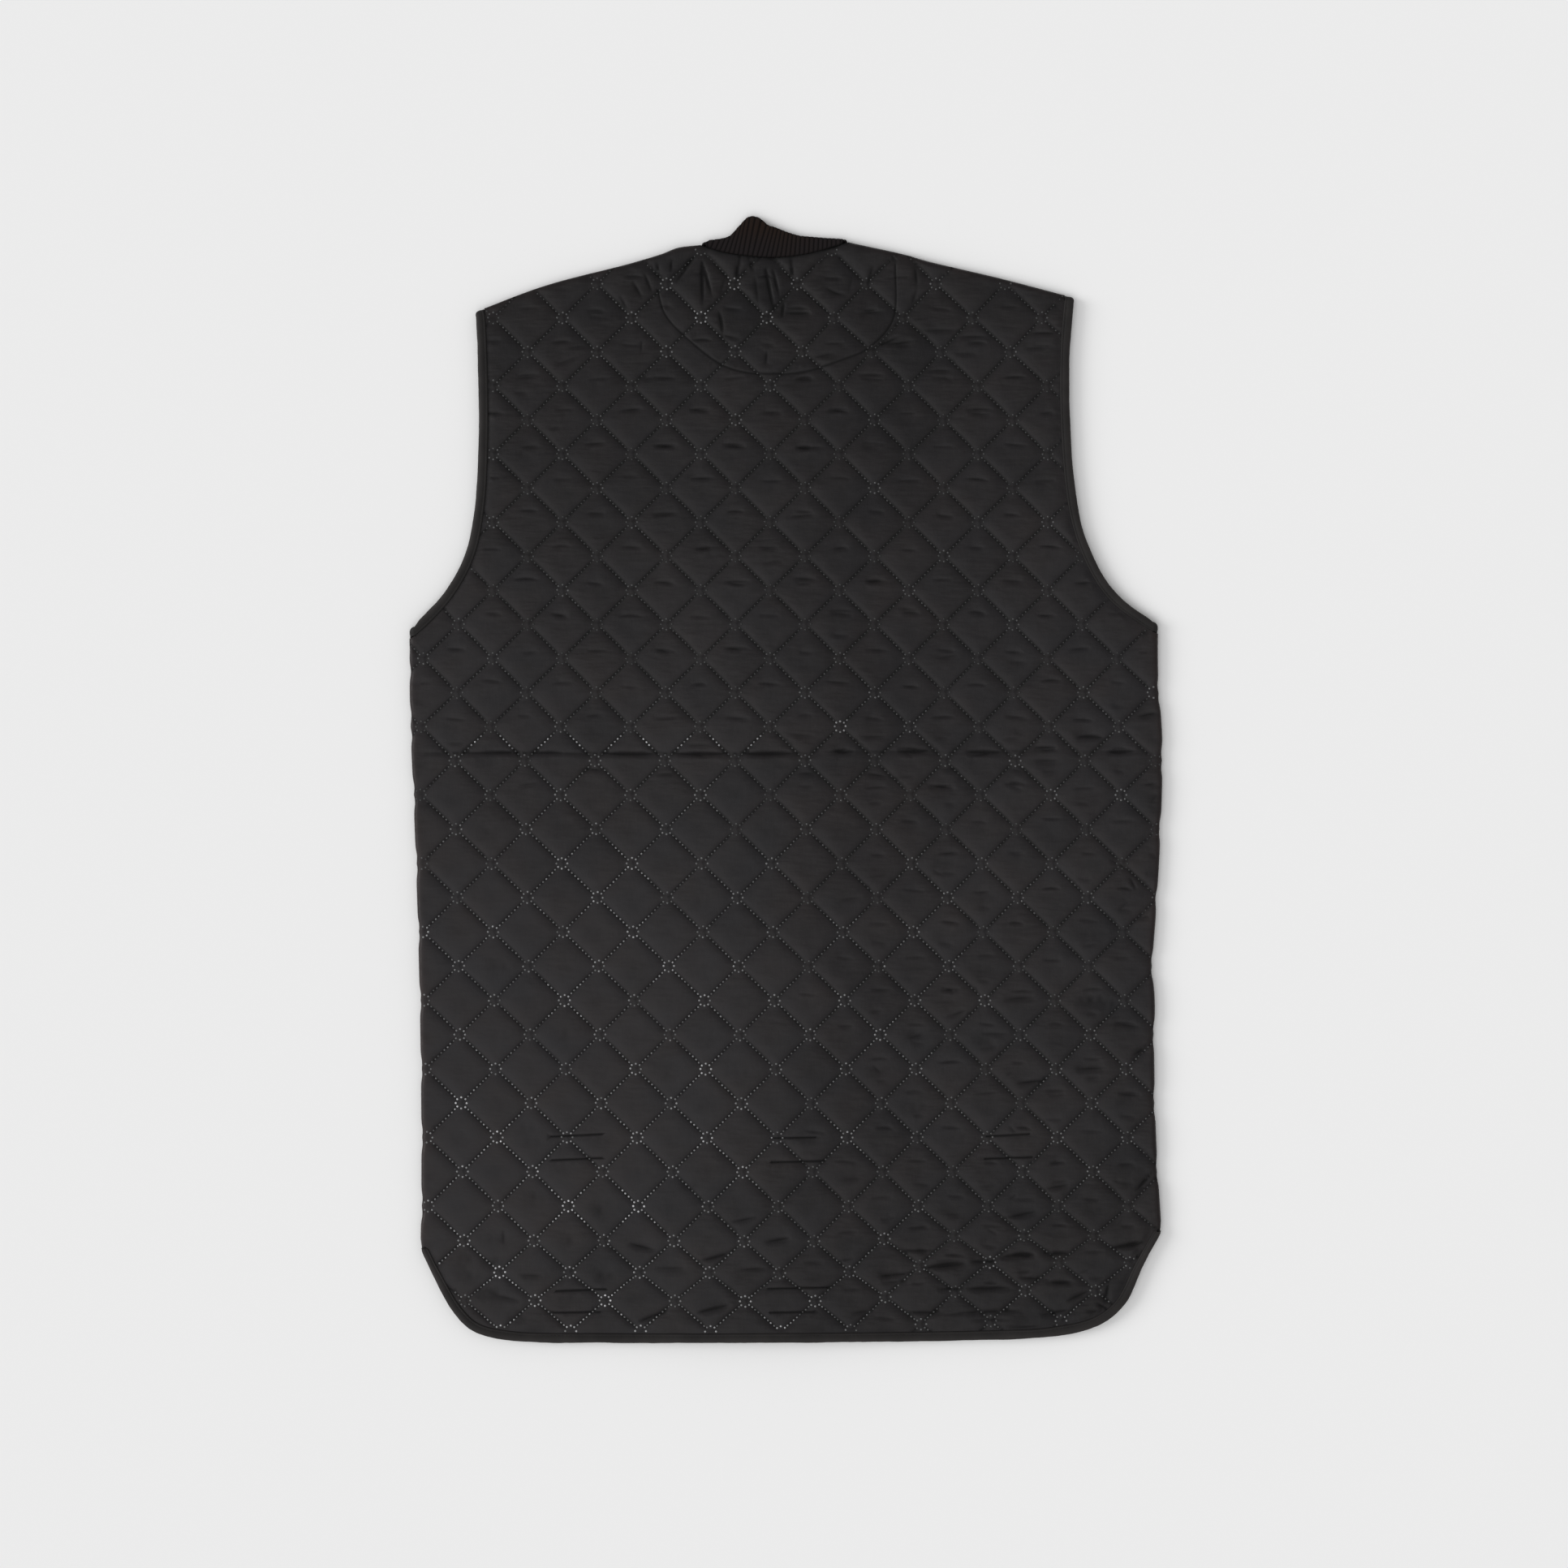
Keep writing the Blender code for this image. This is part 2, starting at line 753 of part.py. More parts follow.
# One place along a binding: where its edge line is, which way it covers the cloth,
# which way its upper face looks, and how far in its slot reaches
Bound = namedtuple("Bound", "at inward normal slot")


def binding_section(place):
    """Ten points round the U of a binding."""
    half = BIND_HIGH / 2
    mouth = BOUND_CLOTH / 2 + GAP
    profile = (
        (BIND_WIDTH, half),
        (1.3, half),
        (0.0, half * 0.5),
        (0.0, -half * 0.5),
        (1.3, -half),
        (BIND_WIDTH, -half),
        (BIND_WIDTH, -mouth),
        (place.slot, -mouth),
        (place.slot, mouth),
        (BIND_WIDTH, mouth),
    )
    return [place.at + a * place.inward + c * place.normal for a, c in profile]


def sweep(rings, closed):
    """Joins rings of points into one skin, closed on itself or capped."""
    count = len(rings[0])
    vertices = [tuple(p) for ring in rings for p in ring]
    faces = []
    pairs = list(zip(range(len(rings)), range(1, len(rings))))
    if closed:
        pairs.append((len(rings) - 1, 0))
    for a, b in pairs:
        for k in range(count):
            n = (k + 1) % count
            faces.append((a * count + k, a * count + n, b * count + n, b * count + k))
    if not closed:
        faces.append(tuple(reversed(range(count))))
        faces.append(tuple(range(len(vertices) - count, len(vertices))))
    return vertices, faces


def lay(run, base, upward=1):
    """Flat stations of a binding on its layer."""
    up = Vector((0.0, 0.0, upward))
    placed = []
    for s in run:
        height = base(s.at.x, s.at.y) + BIND_HIGH / 2
        placed.append(Bound(
            Vector((s.at.x, s.at.y, height)), s.inward.to_3d(), up, BIND_WALL
        ))
    return placed


def turn_round(corner, from_top):
    """Stations of a binding round a folded edge, between back and front."""
    middle = corner.at + TURN * corner.inward
    out = -corner.inward.to_3d()
    axis = Vector((middle.x, middle.y, TURN))
    places = []
    for k in range(5):
        angle = math.pi * k / 4 if from_top else math.pi * (4 - k) / 4
        normal = math.cos(angle) * Vector((0.0, 0.0, 1.0)) + math.sin(angle) * out
        places.append(Bound(
            axis + LAYER / 2 * normal, corner.axis.to_3d(), normal, SHUT
        ))
    return places


def armhole_back_base(x, y):
    return LAYER


def armhole_binding(half):
    route = lay(half.armhole_stations(True), armhole_back_base)
    route += turn_round(half.tip, True)
    route += lay(list(reversed(half.armhole_stations(False))), front_left_base, -1)
    route += turn_round(half.underarm, False)
    return sweep([binding_section(place) for place in route], True)


def hem_binding():
    route = lay(back_hem_stations(), back_base)
    return sweep([binding_section(place) for place in route], False)


def edge_binding(half, direction, base):
    run = front_edge_stations(half, direction)
    top = front_neck_stations(half, direction)[-1].at
    run[-1] = Station(top - Vector((0.0, GAP)), Vector((-direction, 0.0)))
    route = lay(run, base)
    return sweep([binding_section(place) for place in route], False)


# One section of the collar: where the seam is in plan, the way out from it to the
# fold, what the band points at beyond the fold, the degrees that it turns at the
# fold, and the straight run between the seam and the fold
Rib = namedtuple("Rib", "at out aim turn run")


def turned_height(turn):
    """Height of the wall's middle where it lies flat, under the back or in front."""
    return RIB / 2 + (RIB_FOLDED - RIB / 2) * turn / 180.0


def fold_step(turn, share):
    """How far out and up from the flat part the wall is, part of the way round."""
    angle = math.radians(turn)
    if angle < 0.01:
        return share * FOLD_RUN, 0.0
    radius = FOLD_RUN / angle
    if turn == 180.0:
        radius = (LAYER + CLOTH / 2 - RIB_FOLDED) / 2
    return radius * math.sin(angle * share), radius * (1 - math.cos(angle * share))


def rib_path(rib):
    """The middle of the band's wall from the seam to its far edge."""
    angle = math.radians(rib.turn)
    low = turned_height(rib.turn)
    along, rise = rib.run * math.cos(angle), rib.run * math.sin(angle)
    reach, _ = fold_step(rib.turn, 1.0)
    rim = rib.at - (reach + along) * rib.out
    path = []
    for k in range(5):
        out, up = fold_step(rib.turn, 1.0 - k / 4)
        if k == 0:
            start = rib.at
            path.append(Vector((start.x, start.y, low + up + rise)))
        plan = rim + out * rib.out
        path.append(Vector((plan.x, plan.y, low + up)))
    inside = BAND - FOLD_RUN - rib.run
    inward = (rib.aim - rim).normalized()
    for share in (0.5, 1.0):
        plan = rim + share * inside * inward
        path.append(Vector((plan.x, plan.y, low)))
    return path


def rib_section(rib):
    """The wall round that middle line."""
    path = rib_path(rib)
    up = Vector((0.0, 0.0, 1.0))
    outer, inner = [], []
    last = len(path) - 1
    for k, p in enumerate(path):
        along = (path[min(k + 1, last)] - path[max(k - 1, 0)]).normalized()
        flat = Vector((along.x, along.y, 0.0))
        level = -rib.out.to_3d() if flat.length < 0.05 else flat.normalized()
        if flat.dot(rib.out.to_3d()) > 0.0:
            level = -level
        square = level.dot(along) * up - along.z * level
        outer.append(p - RIB / 2 * square)
        inner.append(p + RIB / 2 * square)
    return outer + list(reversed(inner))


def band_middle(left, right):
    """What the band's flat part points at, near the middle of the neck hole."""
    height = left.shoulder[-1].y - FRONT_NECK_DROP * 0.42
    sides = left.shoulder[-1].x + right.shoulder[-1].x
    return Vector((0.35 * sides, height))


def front_ribs(half, direction, middle):
    """Sections along one half of the front neckline, from its neck point down."""
    ribs = []
    for place in front_neck_stations(half, direction)[1:]:
        past = place.at.x - closing(place.at.y)
        aim = middle if past * direction < 0.1 else middle + Vector((past, 0.0))
        into = (aim - place.at).normalized()
        ribs.append(Rib(place.at + NECK_CLEAR * into, -into, aim, 0.0, SHORT_RUN))
    return ribs


def wale_end(foot):
    """Where the rib that starts at this place along the neck reaches the outline."""
    rows = COLLAR_WALES
    for a, b in zip(rows, rows[1:]):
        if foot <= b.foot:
            share = max(0.0, (foot - a.foot) / (b.foot - a.foot))
            return Vector((
                a.across + (b.across - a.across) * share,
                a.height + (b.height - a.height) * share,
            ))
    return Vector((rows[-1].across, rows[-1].height))


def back_ribs(middle):
    """Sections along the back neck, without those at its two neck points."""
    fold = fold_step(180.0, 0.5)[0] + RIB / 2
    ribs = []
    for place in back_neck_stations()[1:-1]:
        at = place.at - NECK_CLEAR * place.inward
        shown = wale_end(place.at.x) - at
        run = max(SHORT_RUN, shown.length - fold)
        ribs.append(Rib(at, shown.normalized(), middle, 180.0, run))
    return ribs


def unfolding_ribs(corner, side, back_rib, front_rib):
    """Sections round a neck point, from the back's fold to the flat front band.

    side is 1 at the left neck point, where the hole lies towards +X.
    """
    ribs = []
    for turn, across, up in UNFOLD:
        at = corner + Vector((side * across, up))
        out = back_rib.out.lerp(front_rib.out, 1.0 - turn / 180.0).normalized()
        ribs.append(Rib(at, out, back_rib.aim, turn, SHORT_RUN))
    return ribs


def rib_collar(left, right):
    middle = band_middle(left, right)
    back = back_ribs(middle)
    front_left = front_ribs(left, 1, middle)
    front_right = front_ribs(right, -1, middle)
    round_left = unfolding_ribs(left.shoulder[-1], 1, back[0], front_left[0])
    round_right = unfolding_ribs(right.shoulder[-1], -1, back[-1], front_right[0])
    sections = [rib_section(rib) for rib in reversed(round_left + front_left)]
    sections += [rib_section(rib) for rib in back + round_right]
    for rib in front_right:
        lift = Vector((0.0, 0.0, front_right_base(rib.at.x, rib.at.y)))
        sections.append([p + lift for p in rib_section(rib)])
    return sweep(sections, False)


def turned(centre, profile, sides=SNAP_SIDES):
    """A round piece from its profile of radius and height, on the upright axis."""
    rings = []
    for radius, height in profile:
        ring = []
        for k in range(sides):
            turn = 2 * math.pi * k / sides
            ring.append(Vector((
                centre.x + radius * math.cos(turn),
                centre.y + radius * math.sin(turn),
                height,
            )))
        rings.append(ring)
    return sweep(rings, False)


def snap_cap(centre):
    """Shallow cap, flat below where it rests."""
    return turned(centre, (
        (CAP_RADIUS - 0.8, 0.0), (CAP_RADIUS, 0.5), (CAP_RADIUS, CAP_HIGH)
    ))


def snap_stud(centre):
    """Socket ring below and stud plate above, fastened together."""
    low = DIMPLE_FLOOR + DIMPLE_CLOTH + GAP
    high = LAYER + SOCKET_SINK - GAP
    waist = (low + high) / 2
    return turned(centre, (
        (STUD_RADIUS, low), (STUD_RADIUS - 0.9, waist), (STUD_RADIUS, high),
    ))


def material(name, colour, roughness, metallic=0.0):
    made = bpy.data.materials.new(name)
    made.use_nodes = True
    surface = made.node_tree.nodes["Principled BSDF"]
    surface.inputs["Base Color"].default_value = (*colour, 1.0)
    surface.inputs["Roughness"].default_value = roughness
    surface.inputs["Metallic"].default_value = metallic
    return made


def add_object(name, shape, finish, parent):
    vertices, faces = shape
    mesh = bpy.data.meshes.new(name)
    mesh.from_pydata([tuple(MM * c for c in v) for v in vertices], [], faces)
    work = bmesh.new()
    work.from_mesh(mesh)
    bmesh.ops.triangulate(work, faces=work.faces[:])
    bmesh.ops.recalc_face_normals(work, faces=work.faces[:])
    work.to_mesh(mesh)
    work.free()
    mesh.materials.append(finish)
    piece = bpy.data.objects.new(name, mesh)
    piece.parent = parent
    bpy.context.scene.collection.objects.link(piece)
    return piece


def clear_scene():
    for old in list(bpy.data.objects):
        bpy.data.objects.remove(old, do_unlink=True)


def build():
    clear_scene()
    vest = bpy.data.objects.new("vest", None)
    bpy.context.scene.collection.objects.link(vest)

    left = Half(LEFT_SIDE, LEFT_ARMHOLE, LEFT_SHOULDER, 1)
    right = Half(RIGHT_SIDE, RIGHT_ARMHOLE, RIGHT_SHOULDER, -1)

    quilt = material("black_quilt", (0.021, 0.020, 0.021), 0.45)
    tape = material("black_tape", (0.026, 0.025, 0.025), 0.50)
    knit = material("brown_black_rib", (0.017, 0.012, 0.011), 0.90)
    metal = material("dark_metal", (0.060, 0.060, 0.062), 0.35, 0.9)

    add_object("back_panel", back_panel(left, right).mesh(), quilt, vest)
    add_object("front_panel_left", front_left_panel(left).mesh(), quilt, vest)
    add_object("front_panel_right", front_right_panel(right).mesh(), quilt, vest)
    add_object("rib_collar", rib_collar(left, right), knit, vest)
    add_object("armhole_binding_left", armhole_binding(left), tape, vest)
    add_object("armhole_binding_right", armhole_binding(right), tape, vest)
    add_object("hem_binding_back", hem_binding(), tape, vest)
    add_object(
        "edge_binding_front_left", edge_binding(left, 1, front_left_base), tape, vest
    )
    add_object(
        "edge_binding_front_right", edge_binding(right, -1, front_right_base), tape, vest
    )
    for number, centre in snap_places():
        add_object(f"snap_cap_{number}", snap_cap(centre), metal, vest)
        add_object(f"snap_stud_{number}", snap_stud(centre), metal, vest)


build()
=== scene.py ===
"""Looks of the quilted vest that lies face down: cloth, bindings, rib collar, studs.

A piece here stands for one solid of the CAD frame and lies where that solid lies; only
the weld dots and the stitches have no solid of their own.  Sizes are in millimetres and
become metres when a mesh is made.  +Y runs up the vest to the collar and +Z is up from
the floor; the wearer's left is at -X.

The cloth is quilted with two families of straight weld lines that cross as diamonds.
A place in the quilting is a pair (p, q): each whole p and each whole q is a line.
"""

import math
from collections import namedtuple

import bpy
import numpy as np
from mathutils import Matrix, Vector
from mathutils.geometry import delaunay_2d_cdt


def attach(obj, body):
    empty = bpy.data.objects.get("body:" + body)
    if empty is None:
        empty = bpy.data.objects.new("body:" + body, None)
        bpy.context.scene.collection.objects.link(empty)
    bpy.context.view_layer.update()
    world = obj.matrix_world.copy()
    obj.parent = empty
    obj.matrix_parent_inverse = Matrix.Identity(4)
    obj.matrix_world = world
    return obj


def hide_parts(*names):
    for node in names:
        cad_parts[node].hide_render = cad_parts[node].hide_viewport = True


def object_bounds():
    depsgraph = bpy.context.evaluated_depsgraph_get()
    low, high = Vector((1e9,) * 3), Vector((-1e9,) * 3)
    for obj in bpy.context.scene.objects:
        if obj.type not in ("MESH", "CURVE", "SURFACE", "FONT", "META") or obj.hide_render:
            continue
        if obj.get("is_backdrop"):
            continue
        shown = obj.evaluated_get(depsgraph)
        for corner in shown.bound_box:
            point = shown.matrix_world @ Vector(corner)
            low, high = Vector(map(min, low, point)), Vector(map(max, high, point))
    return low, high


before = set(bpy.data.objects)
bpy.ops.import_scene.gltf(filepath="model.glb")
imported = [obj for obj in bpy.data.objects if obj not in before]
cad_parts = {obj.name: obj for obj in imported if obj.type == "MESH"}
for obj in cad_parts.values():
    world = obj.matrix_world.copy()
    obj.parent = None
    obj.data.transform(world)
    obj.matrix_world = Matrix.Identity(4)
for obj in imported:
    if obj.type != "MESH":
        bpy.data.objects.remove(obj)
cad_low, cad_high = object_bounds()

MM = 0.001

# Cloth and layers, as in the CAD solids
GAP = 0.3
CLOTH = 3.0
BOUND_CLOTH = 1.2       # cloth pressed flat inside a binding
BIND_WIDTH = 7.0
HAIR = 0.05             # the cloth all but meets a binding's end
CORNER_SHIFT = 2.6      # a binding may lie this far out at a corner
CORNER_CLEAR = 0.6      # the cloth's edge ends this far before a corner's notch
CORNER_POINT = 7        # the point of a folded edge that shows the corner's direction
BIND_WALL = 1.0
BIND_HIGH = BOUND_CLOTH + 2 * GAP + 2 * BIND_WALL
LAYER = BIND_HIGH + 0.35
WHOLE = LAYER + CLOTH   # both layers together, away from the lap
FOLD_LIP = WHOLE / 2 + GAP / 2   # inner face of the back at a folded edge
FOLD_TOP = 4.9          # its outer face there
FOLD_REACH = 3.5        # the fold is over this far in from the edge
NECK_PINCH = 0.9        # each face sinks this much at the neck seam
NECK_REACH = 5.0        # within this distance from it
SEAM_END = 6.0          # the side fold starts this far above its seam's end
NECK_END = 1.5          # and the shoulder fold ends this far before the neck point
TURN = BIND_HIGH / 2 + LAYER / 2     # from a folded edge to where a binding turns
EDGE_IN_BINDING = BIND_WALL + GAP    # from a binding's edge to the cloth's edge
# The cloth comes to its whole thickness between these distances from its edge
OPENING = (BIND_WIDTH + 0.4, BIND_WIDTH + 4.4)

# Outline of the laid back: a row for each place that shapes it
Place = namedtuple("Place", "name across height")


def places(*rows):
    return tuple(Place(*row) for row in rows)


LEFT_SIDE = places(
    ("side seam end", -270.4, -347.0), ("low hip", -269.8, -300.0),
    ("hip", -270.3, -204.0), ("high hip", -272.2, -114.0), ("waist", -275.2, -24.0),
    ("under chest", -278.1, 48.0), ("underarm", -278.6, 110.5),
)
RIGHT_SIDE = places(
    ("side seam end", 277.8, -334.0), ("low hip", 273.8, -264.0),
    ("hip", 272.4, -204.0), ("hip puff", 272.8, -164.0), ("dent", 271.2, -138.0),
    ("high hip", 273.6, -100.0), ("waist", 276.8, -44.0), ("fold", 278.5, 24.0),
    ("under chest", 275.2, 82.0), ("underarm", 275.2, 114.0),
)
LEFT_ARMHOLE = places(
    ("underarm", -278.6, 110.5), ("turn", -252.8, 138.4),
    ("lower curve", -237.8, 165.4), ("curve", -230.4, 199.0),
    ("deepest", -227.4, 250.0), ("upper", -227.8, 306.0),
    ("shoulder tip", -229.4, 346.2),
)
RIGHT_ARMHOLE = places(
    ("underarm", 275.2, 114.0), ("turn", 243.6, 138.4), ("lower curve", 227.0, 165.4),
    ("curve", 216.4, 199.0), ("deepest", 210.4, 258.0), ("upper", 210.0, 318.0),
    ("shoulder tip", 213.0, 356.4),
)
LEFT_SHOULDER = places(
    ("shoulder tip", -229.4, 346.2), ("middle", -178.0, 365.4),
    ("ripple", -116.0, 381.6), ("gather", -92.0, 388.8), ("gather top", -80.0, 393.4),
    ("neck point", -63.4, 395.4),
)
RIGHT_SHOULDER = places(
    ("shoulder tip", 213.0, 356.4), ("middle", 158.0, 370.8), ("ripple", 104.0, 383.6),
    ("gather", 88.0, 388.2), ("neck point", 46.4, 397.4),
)
BACK_NECK = places(
    ("left neck point", -63.4, 395.4), ("left quarter", -46.0, 389.6),
    ("lowest", -12.0, 386.0), ("right quarter", 14.0, 388.2),
    ("right neck point", 46.4, 397.4),
)
HEM = places(
    ("left seam end", -270.4, -347.0), ("left slant", -261.6, -365.6),
    ("left corner", -245.2, -395.2), ("left round", -230.6, -408.4),
    ("left hem", -204.0, -414.8), ("left middle", -130.0, -416.5),
    ("middle", -10.0, -416.0), ("right middle", 139.0, -414.7),
    ("right hem", 199.0, -411.7), ("right round", 232.0, -403.4),
    ("right corner", 250.4, -388.4), ("right slant", 264.4, -359.4),
    ("right seam end", 277.8, -334.0),
)
HEM_MIDDLE = -416.0

# The lapped closing of the two fronts, under the back
CLOSING = places(
    ("neckline", 0.0, 311.0), ("chest", 2.0, 195.0), ("waist", -13.0, -110.0),
    ("hem", -14.0, -412.0),
)
LAP = 15.0
CLIMB = (LAP + 3.0, LAP + 25.0)
BACK_CLIMB = (LAP - 8.0, LAP + 110.0)     # the back bridges the climb beneath it
BACK_SETTLES = (322.0, 376.0)
FRONT_NECK_DROP = 84.0
FRONT_SCOOP = 9.0
FRONT_HEM_RISE = 4.0
FRONT_CORNER = 30.0

# Quilting: heights of the rows of crossings, from the hem up
QuiltRow = namedtuple("QuiltRow", "row height")
QUILT_ROWS = tuple(QuiltRow(*row) for row in (
    (-7, -453.0), (-5, -407.7), (-4, -385.2), (-3, -364.2), (-2, -340.8),
    (0, -289.8), (12, 14.0), (20, 215.5), (26, 366.6), (29, 442.0),
))
QUILT_MIDDLE = 14.2     # column 0 of the crossings, above the waist
WAIST = 12.0            # below this height the columns lean
COLUMN_PITCH = (51.8, 51.24)     # at the waist and from the chest up
CHEST = 100.0
COLUMN_LEAN = 0.0189
DIAMOND = 36.2          # side of a diamond
SHOULDER_DRIFT = 6.0    # the columns bend in under the right shoulder
HEM_LIFT = 7.5          # the rows rise towards the right corner of the hem
QUILT_SPAN = (-7, 29)   # the panels lie between these rows of crossings
QUILT_ACROSS = 13       # and within this many half columns to each side

# Relief of the quilting
WELD_SINK = 1.15        # the outer face sinks this much to a weld line
INNER_SINK = 0.8
PUFF = 0.45             # the outer face of the back stands this much proud
PILLOW_EDGE = 8.5       # a pillow rises over this distance from its weld lines
GROOVE = 0.38
GROOVE_HALF = 1.0
GATHERED = 0.9          # the welds sink this much more below the neck
GATHER_AT = (-8.0, 372.0)        # most of all here
GATHER_REACH = (85.0, 42.0)      # and less this far from it
SCALLOP = 1.0           # the side folds are drawn in this much at a weld line
SCALLOP_HALF = 4.0
SCALLOP_FADE = (8.0, 24.0)       # and less near the ends of a fold
RING = 4.0              # radius of the ring of weld dots round each crossing
RING_PUFF = 0.7         # the cloth inside it isn't pressed down

# Distances from a weld line at which the cloth has rows of points
FINE_ROWS = (0.0, 0.7, 1.9, 4.6, 8.6, 13.2, 18.1)
MEDIUM_ROWS = (0.0, 1.2, 3.2, 6.8, 12.0, 18.1)
COARSE_ROWS = (0.0, 3.5, 18.1)
# and distances from its edge
EDGE_ROWS = (0.4, 1.0, 1.8, 3.0, 4.6, 6.2, 7.8)
INNER_EDGE_ROWS = (3.5, 7.0)
# from a stitched line, and from a crease's middle in half widths of the crease
STITCHED_ROWS = (-1.5, -0.7, 0.0, 0.7, 1.5)
CREASE_ROWS = (-3.1, -2.0, -1.2, -0.5, 0.0, 0.5, 1.2, 2.2)
CREASE_STEP = 1.7       # between points along a crease
ROWS_KEPT = 2.1         # a crease's rows leave the points this near a weld line alone
ROWS_CLEAR = 2.6        # and stay this far from it themselves
OUTLINE_STEP = 2.2
STITCHED_STEP = 1.2


def table_array(places):
    return np.array([place[-2:] for place in places], float)


def smooth(places, spacing=1.5):
    """Even points on a centripetal spline through the places."""
    rows = table_array(places)
    rows = np.vstack((2 * rows[0] - rows[1], rows, 2 * rows[-1] - rows[-2]))
    line = []
    for a, b, c, d in zip(rows, rows[1:], rows[2:], rows[3:]):
        t1 = math.sqrt(np.linalg.norm(b - a))
        t2 = t1 + math.sqrt(np.linalg.norm(c - b))
        t3 = t2 + math.sqrt(np.linalg.norm(d - c))
        count = max(2, round(np.linalg.norm(c - b) / spacing))
        t = (t1 + (t2 - t1) * np.arange(count) / count)[:, None]
        ab = a + (b - a) * (t / t1)
        bc = b + (c - b) * ((t - t1) / (t2 - t1))
        cd = c + (d - c) * ((t - t2) / (t3 - t2))
        abc = ab + (bc - ab) * (t / t2)
        bcd = bc + (cd - bc) * ((t - t1) / (t3 - t1))
        line.append(abc + (bcd - abc) * ((t - t1) / (t2 - t1)))
    line.append(rows[-2:-1])
    return np.vstack(line)


def lengths(line):
    """Distance along a line to each of its points."""
    steps = np.linalg.norm(np.diff(line, axis=0), axis=1)
    return np.concatenate(([0.0], np.cumsum(steps)))


def at_lengths(stops, along, rows):
    """The rows' values at these distances along a line."""
    return np.column_stack([np.interp(stops, along, column) for column in rows.T])


def resample(line, spacing):
    """The same line with even points about this far apart."""
    along = lengths(line)
    count = max(2, round(along[-1] / spacing) + 1)
    return at_lengths(np.linspace(0.0, along[-1], count), along, line)


def inward_of(line, side):
    """Unit directions square to a line, to its right for side 1, left for -1."""
    index = np.arange(len(line))
    ahead = line[np.minimum(index + 2, len(line) - 1)]
    behind = line[np.maximum(index - 2, 0)]
    along = ahead - behind
    along /= np.linalg.norm(along, axis=1)[:, None]
    return np.column_stack((along[:, 1], -along[:, 0])) * side


def distance(line, points, reach=24.0):
    """How far each point is from a line; a large number beyond the reach."""
    result = np.full(len(points), 1e3)
    low, high = line.min(0) - reach, line.max(0) + reach
    near = np.flatnonzero(np.all((points > low) & (points < high), axis=1))
    start, step = line[:-1], np.diff(line, axis=0)
    square = (step ** 2).sum(1)
    for part in np.array_split(near, len(near) // 4000 + 1):
        off = points[part][:, None] - start[None]
        share = np.clip((off * step).sum(2) / square, 0.0, 1.0)
        off -= share[..., None] * step
        if len(part):
            result[part] = np.sqrt((off ** 2).sum(2).min(1))
    return result


def inside(outline, points):
    """Which points lie inside a closed outline."""
    result = np.zeros(len(points), bool)
    x, y = points.T
    for a, b in zip(outline, np.roll(outline, -1, axis=0)):
        crosses = (a[1] > y) != (b[1] > y)
        if crosses.any():
            at = a[0] + (b[0] - a[0]) * (y - a[1]) / (b[1] - a[1])
            result ^= crosses & (x < at)
    return result


def bell(off, half):
    """1 on a line, falling to 0 beside it over about this half width."""
    return np.exp(-(off / half) ** 2)


def ease(value, start, end):
    """0 before start, 1 after end, smooth between."""
    share = np.clip((value - start) / (end - start), 0.0, 1.0)
    return share * share * (3.0 - 2.0 * share)


CLOSING_HEIGHTS, CLOSING_ACROSS = table_array(CLOSING)[::-1].T[::-1]


def closing(height):
    return np.interp(height, CLOSING_HEIGHTS, CLOSING_ACROSS)


def flat_base(x, y):
    return np.zeros_like(x)


def right_base(x, y):
    """The right front climbs over the left one's edge and lies on it."""
    return LAYER * (1.0 - ease(x - closing(y), *CLIMB))


def back_base(x, y):
    """The back lies on both fronts, and on both of them at the lap."""
    lap = 1.0 - ease(np.abs(x - closing(y)), *BACK_CLIMB)
    return LAYER + LAYER * lap * (1.0 - ease(y, *BACK_SETTLES))


def quilt_place(p, q):
    """Where a place in the quilting lies on the laid back."""
    row, column = p - q, (p + q) / 2
    rows, heights = np.array(QUILT_ROWS, float).T
    y = np.interp(row, rows, heights)
    x = QUILT_MIDDLE + column * column_pitch(y) + column_lean(y)
    return x + shoulder_drift(x, y), y + hem_lift(x, y)


def quilting_at(x, y):
    """The place in the quilting of a point on the laid back."""
    rows, heights = np.array(QUILT_ROWS, float).T
    x0, y0 = x, y
    for _ in range(4):
        x0, y0 = x - shoulder_drift(x0, y0), y - hem_lift(x0, y0)
    column = (x0 - QUILT_MIDDLE - column_lean(y0)) / column_pitch(y0)
    row = np.interp(y0, heights, rows)
    return column + row / 2, column - row / 2


def column_pitch(y):
    return np.interp(y, (WAIST, CHEST), COLUMN_PITCH)


def column_lean(y):
    return np.maximum(WAIST - y, 0.0) * COLUMN_LEAN


def shoulder_drift(x, y):
    return -SHOULDER_DRIFT * ease(y, 280.0, 376.0) * ease(x, -60.0, 20.0)


def hem_lift(x, y):
    return HEM_LIFT * ease(x, 20.0, 150.0) * ease(-y, 310.0, 370.0)


def on_quilt(p, q, beyond=0):
    """Whether a place in the quilting may lie on a panel, or this far beyond it."""
    low, high = QUILT_SPAN
    row = p - q
    within = np.abs(p + q) < QUILT_ACROSS + 2 * beyond
    return within & (row > low - beyond) & (row < high + beyond)


def off_lines(p, q):
    """How far a place in the quilting is from the nearest line of each family."""
    return np.abs(p - np.round(p)) * DIAMOND, np.abs(q - np.round(q)) * DIAMOND


def from_line(p, q):
    """How far a place in the quilting is from the nearest weld line."""
    return np.minimum(*off_lines(p, q))


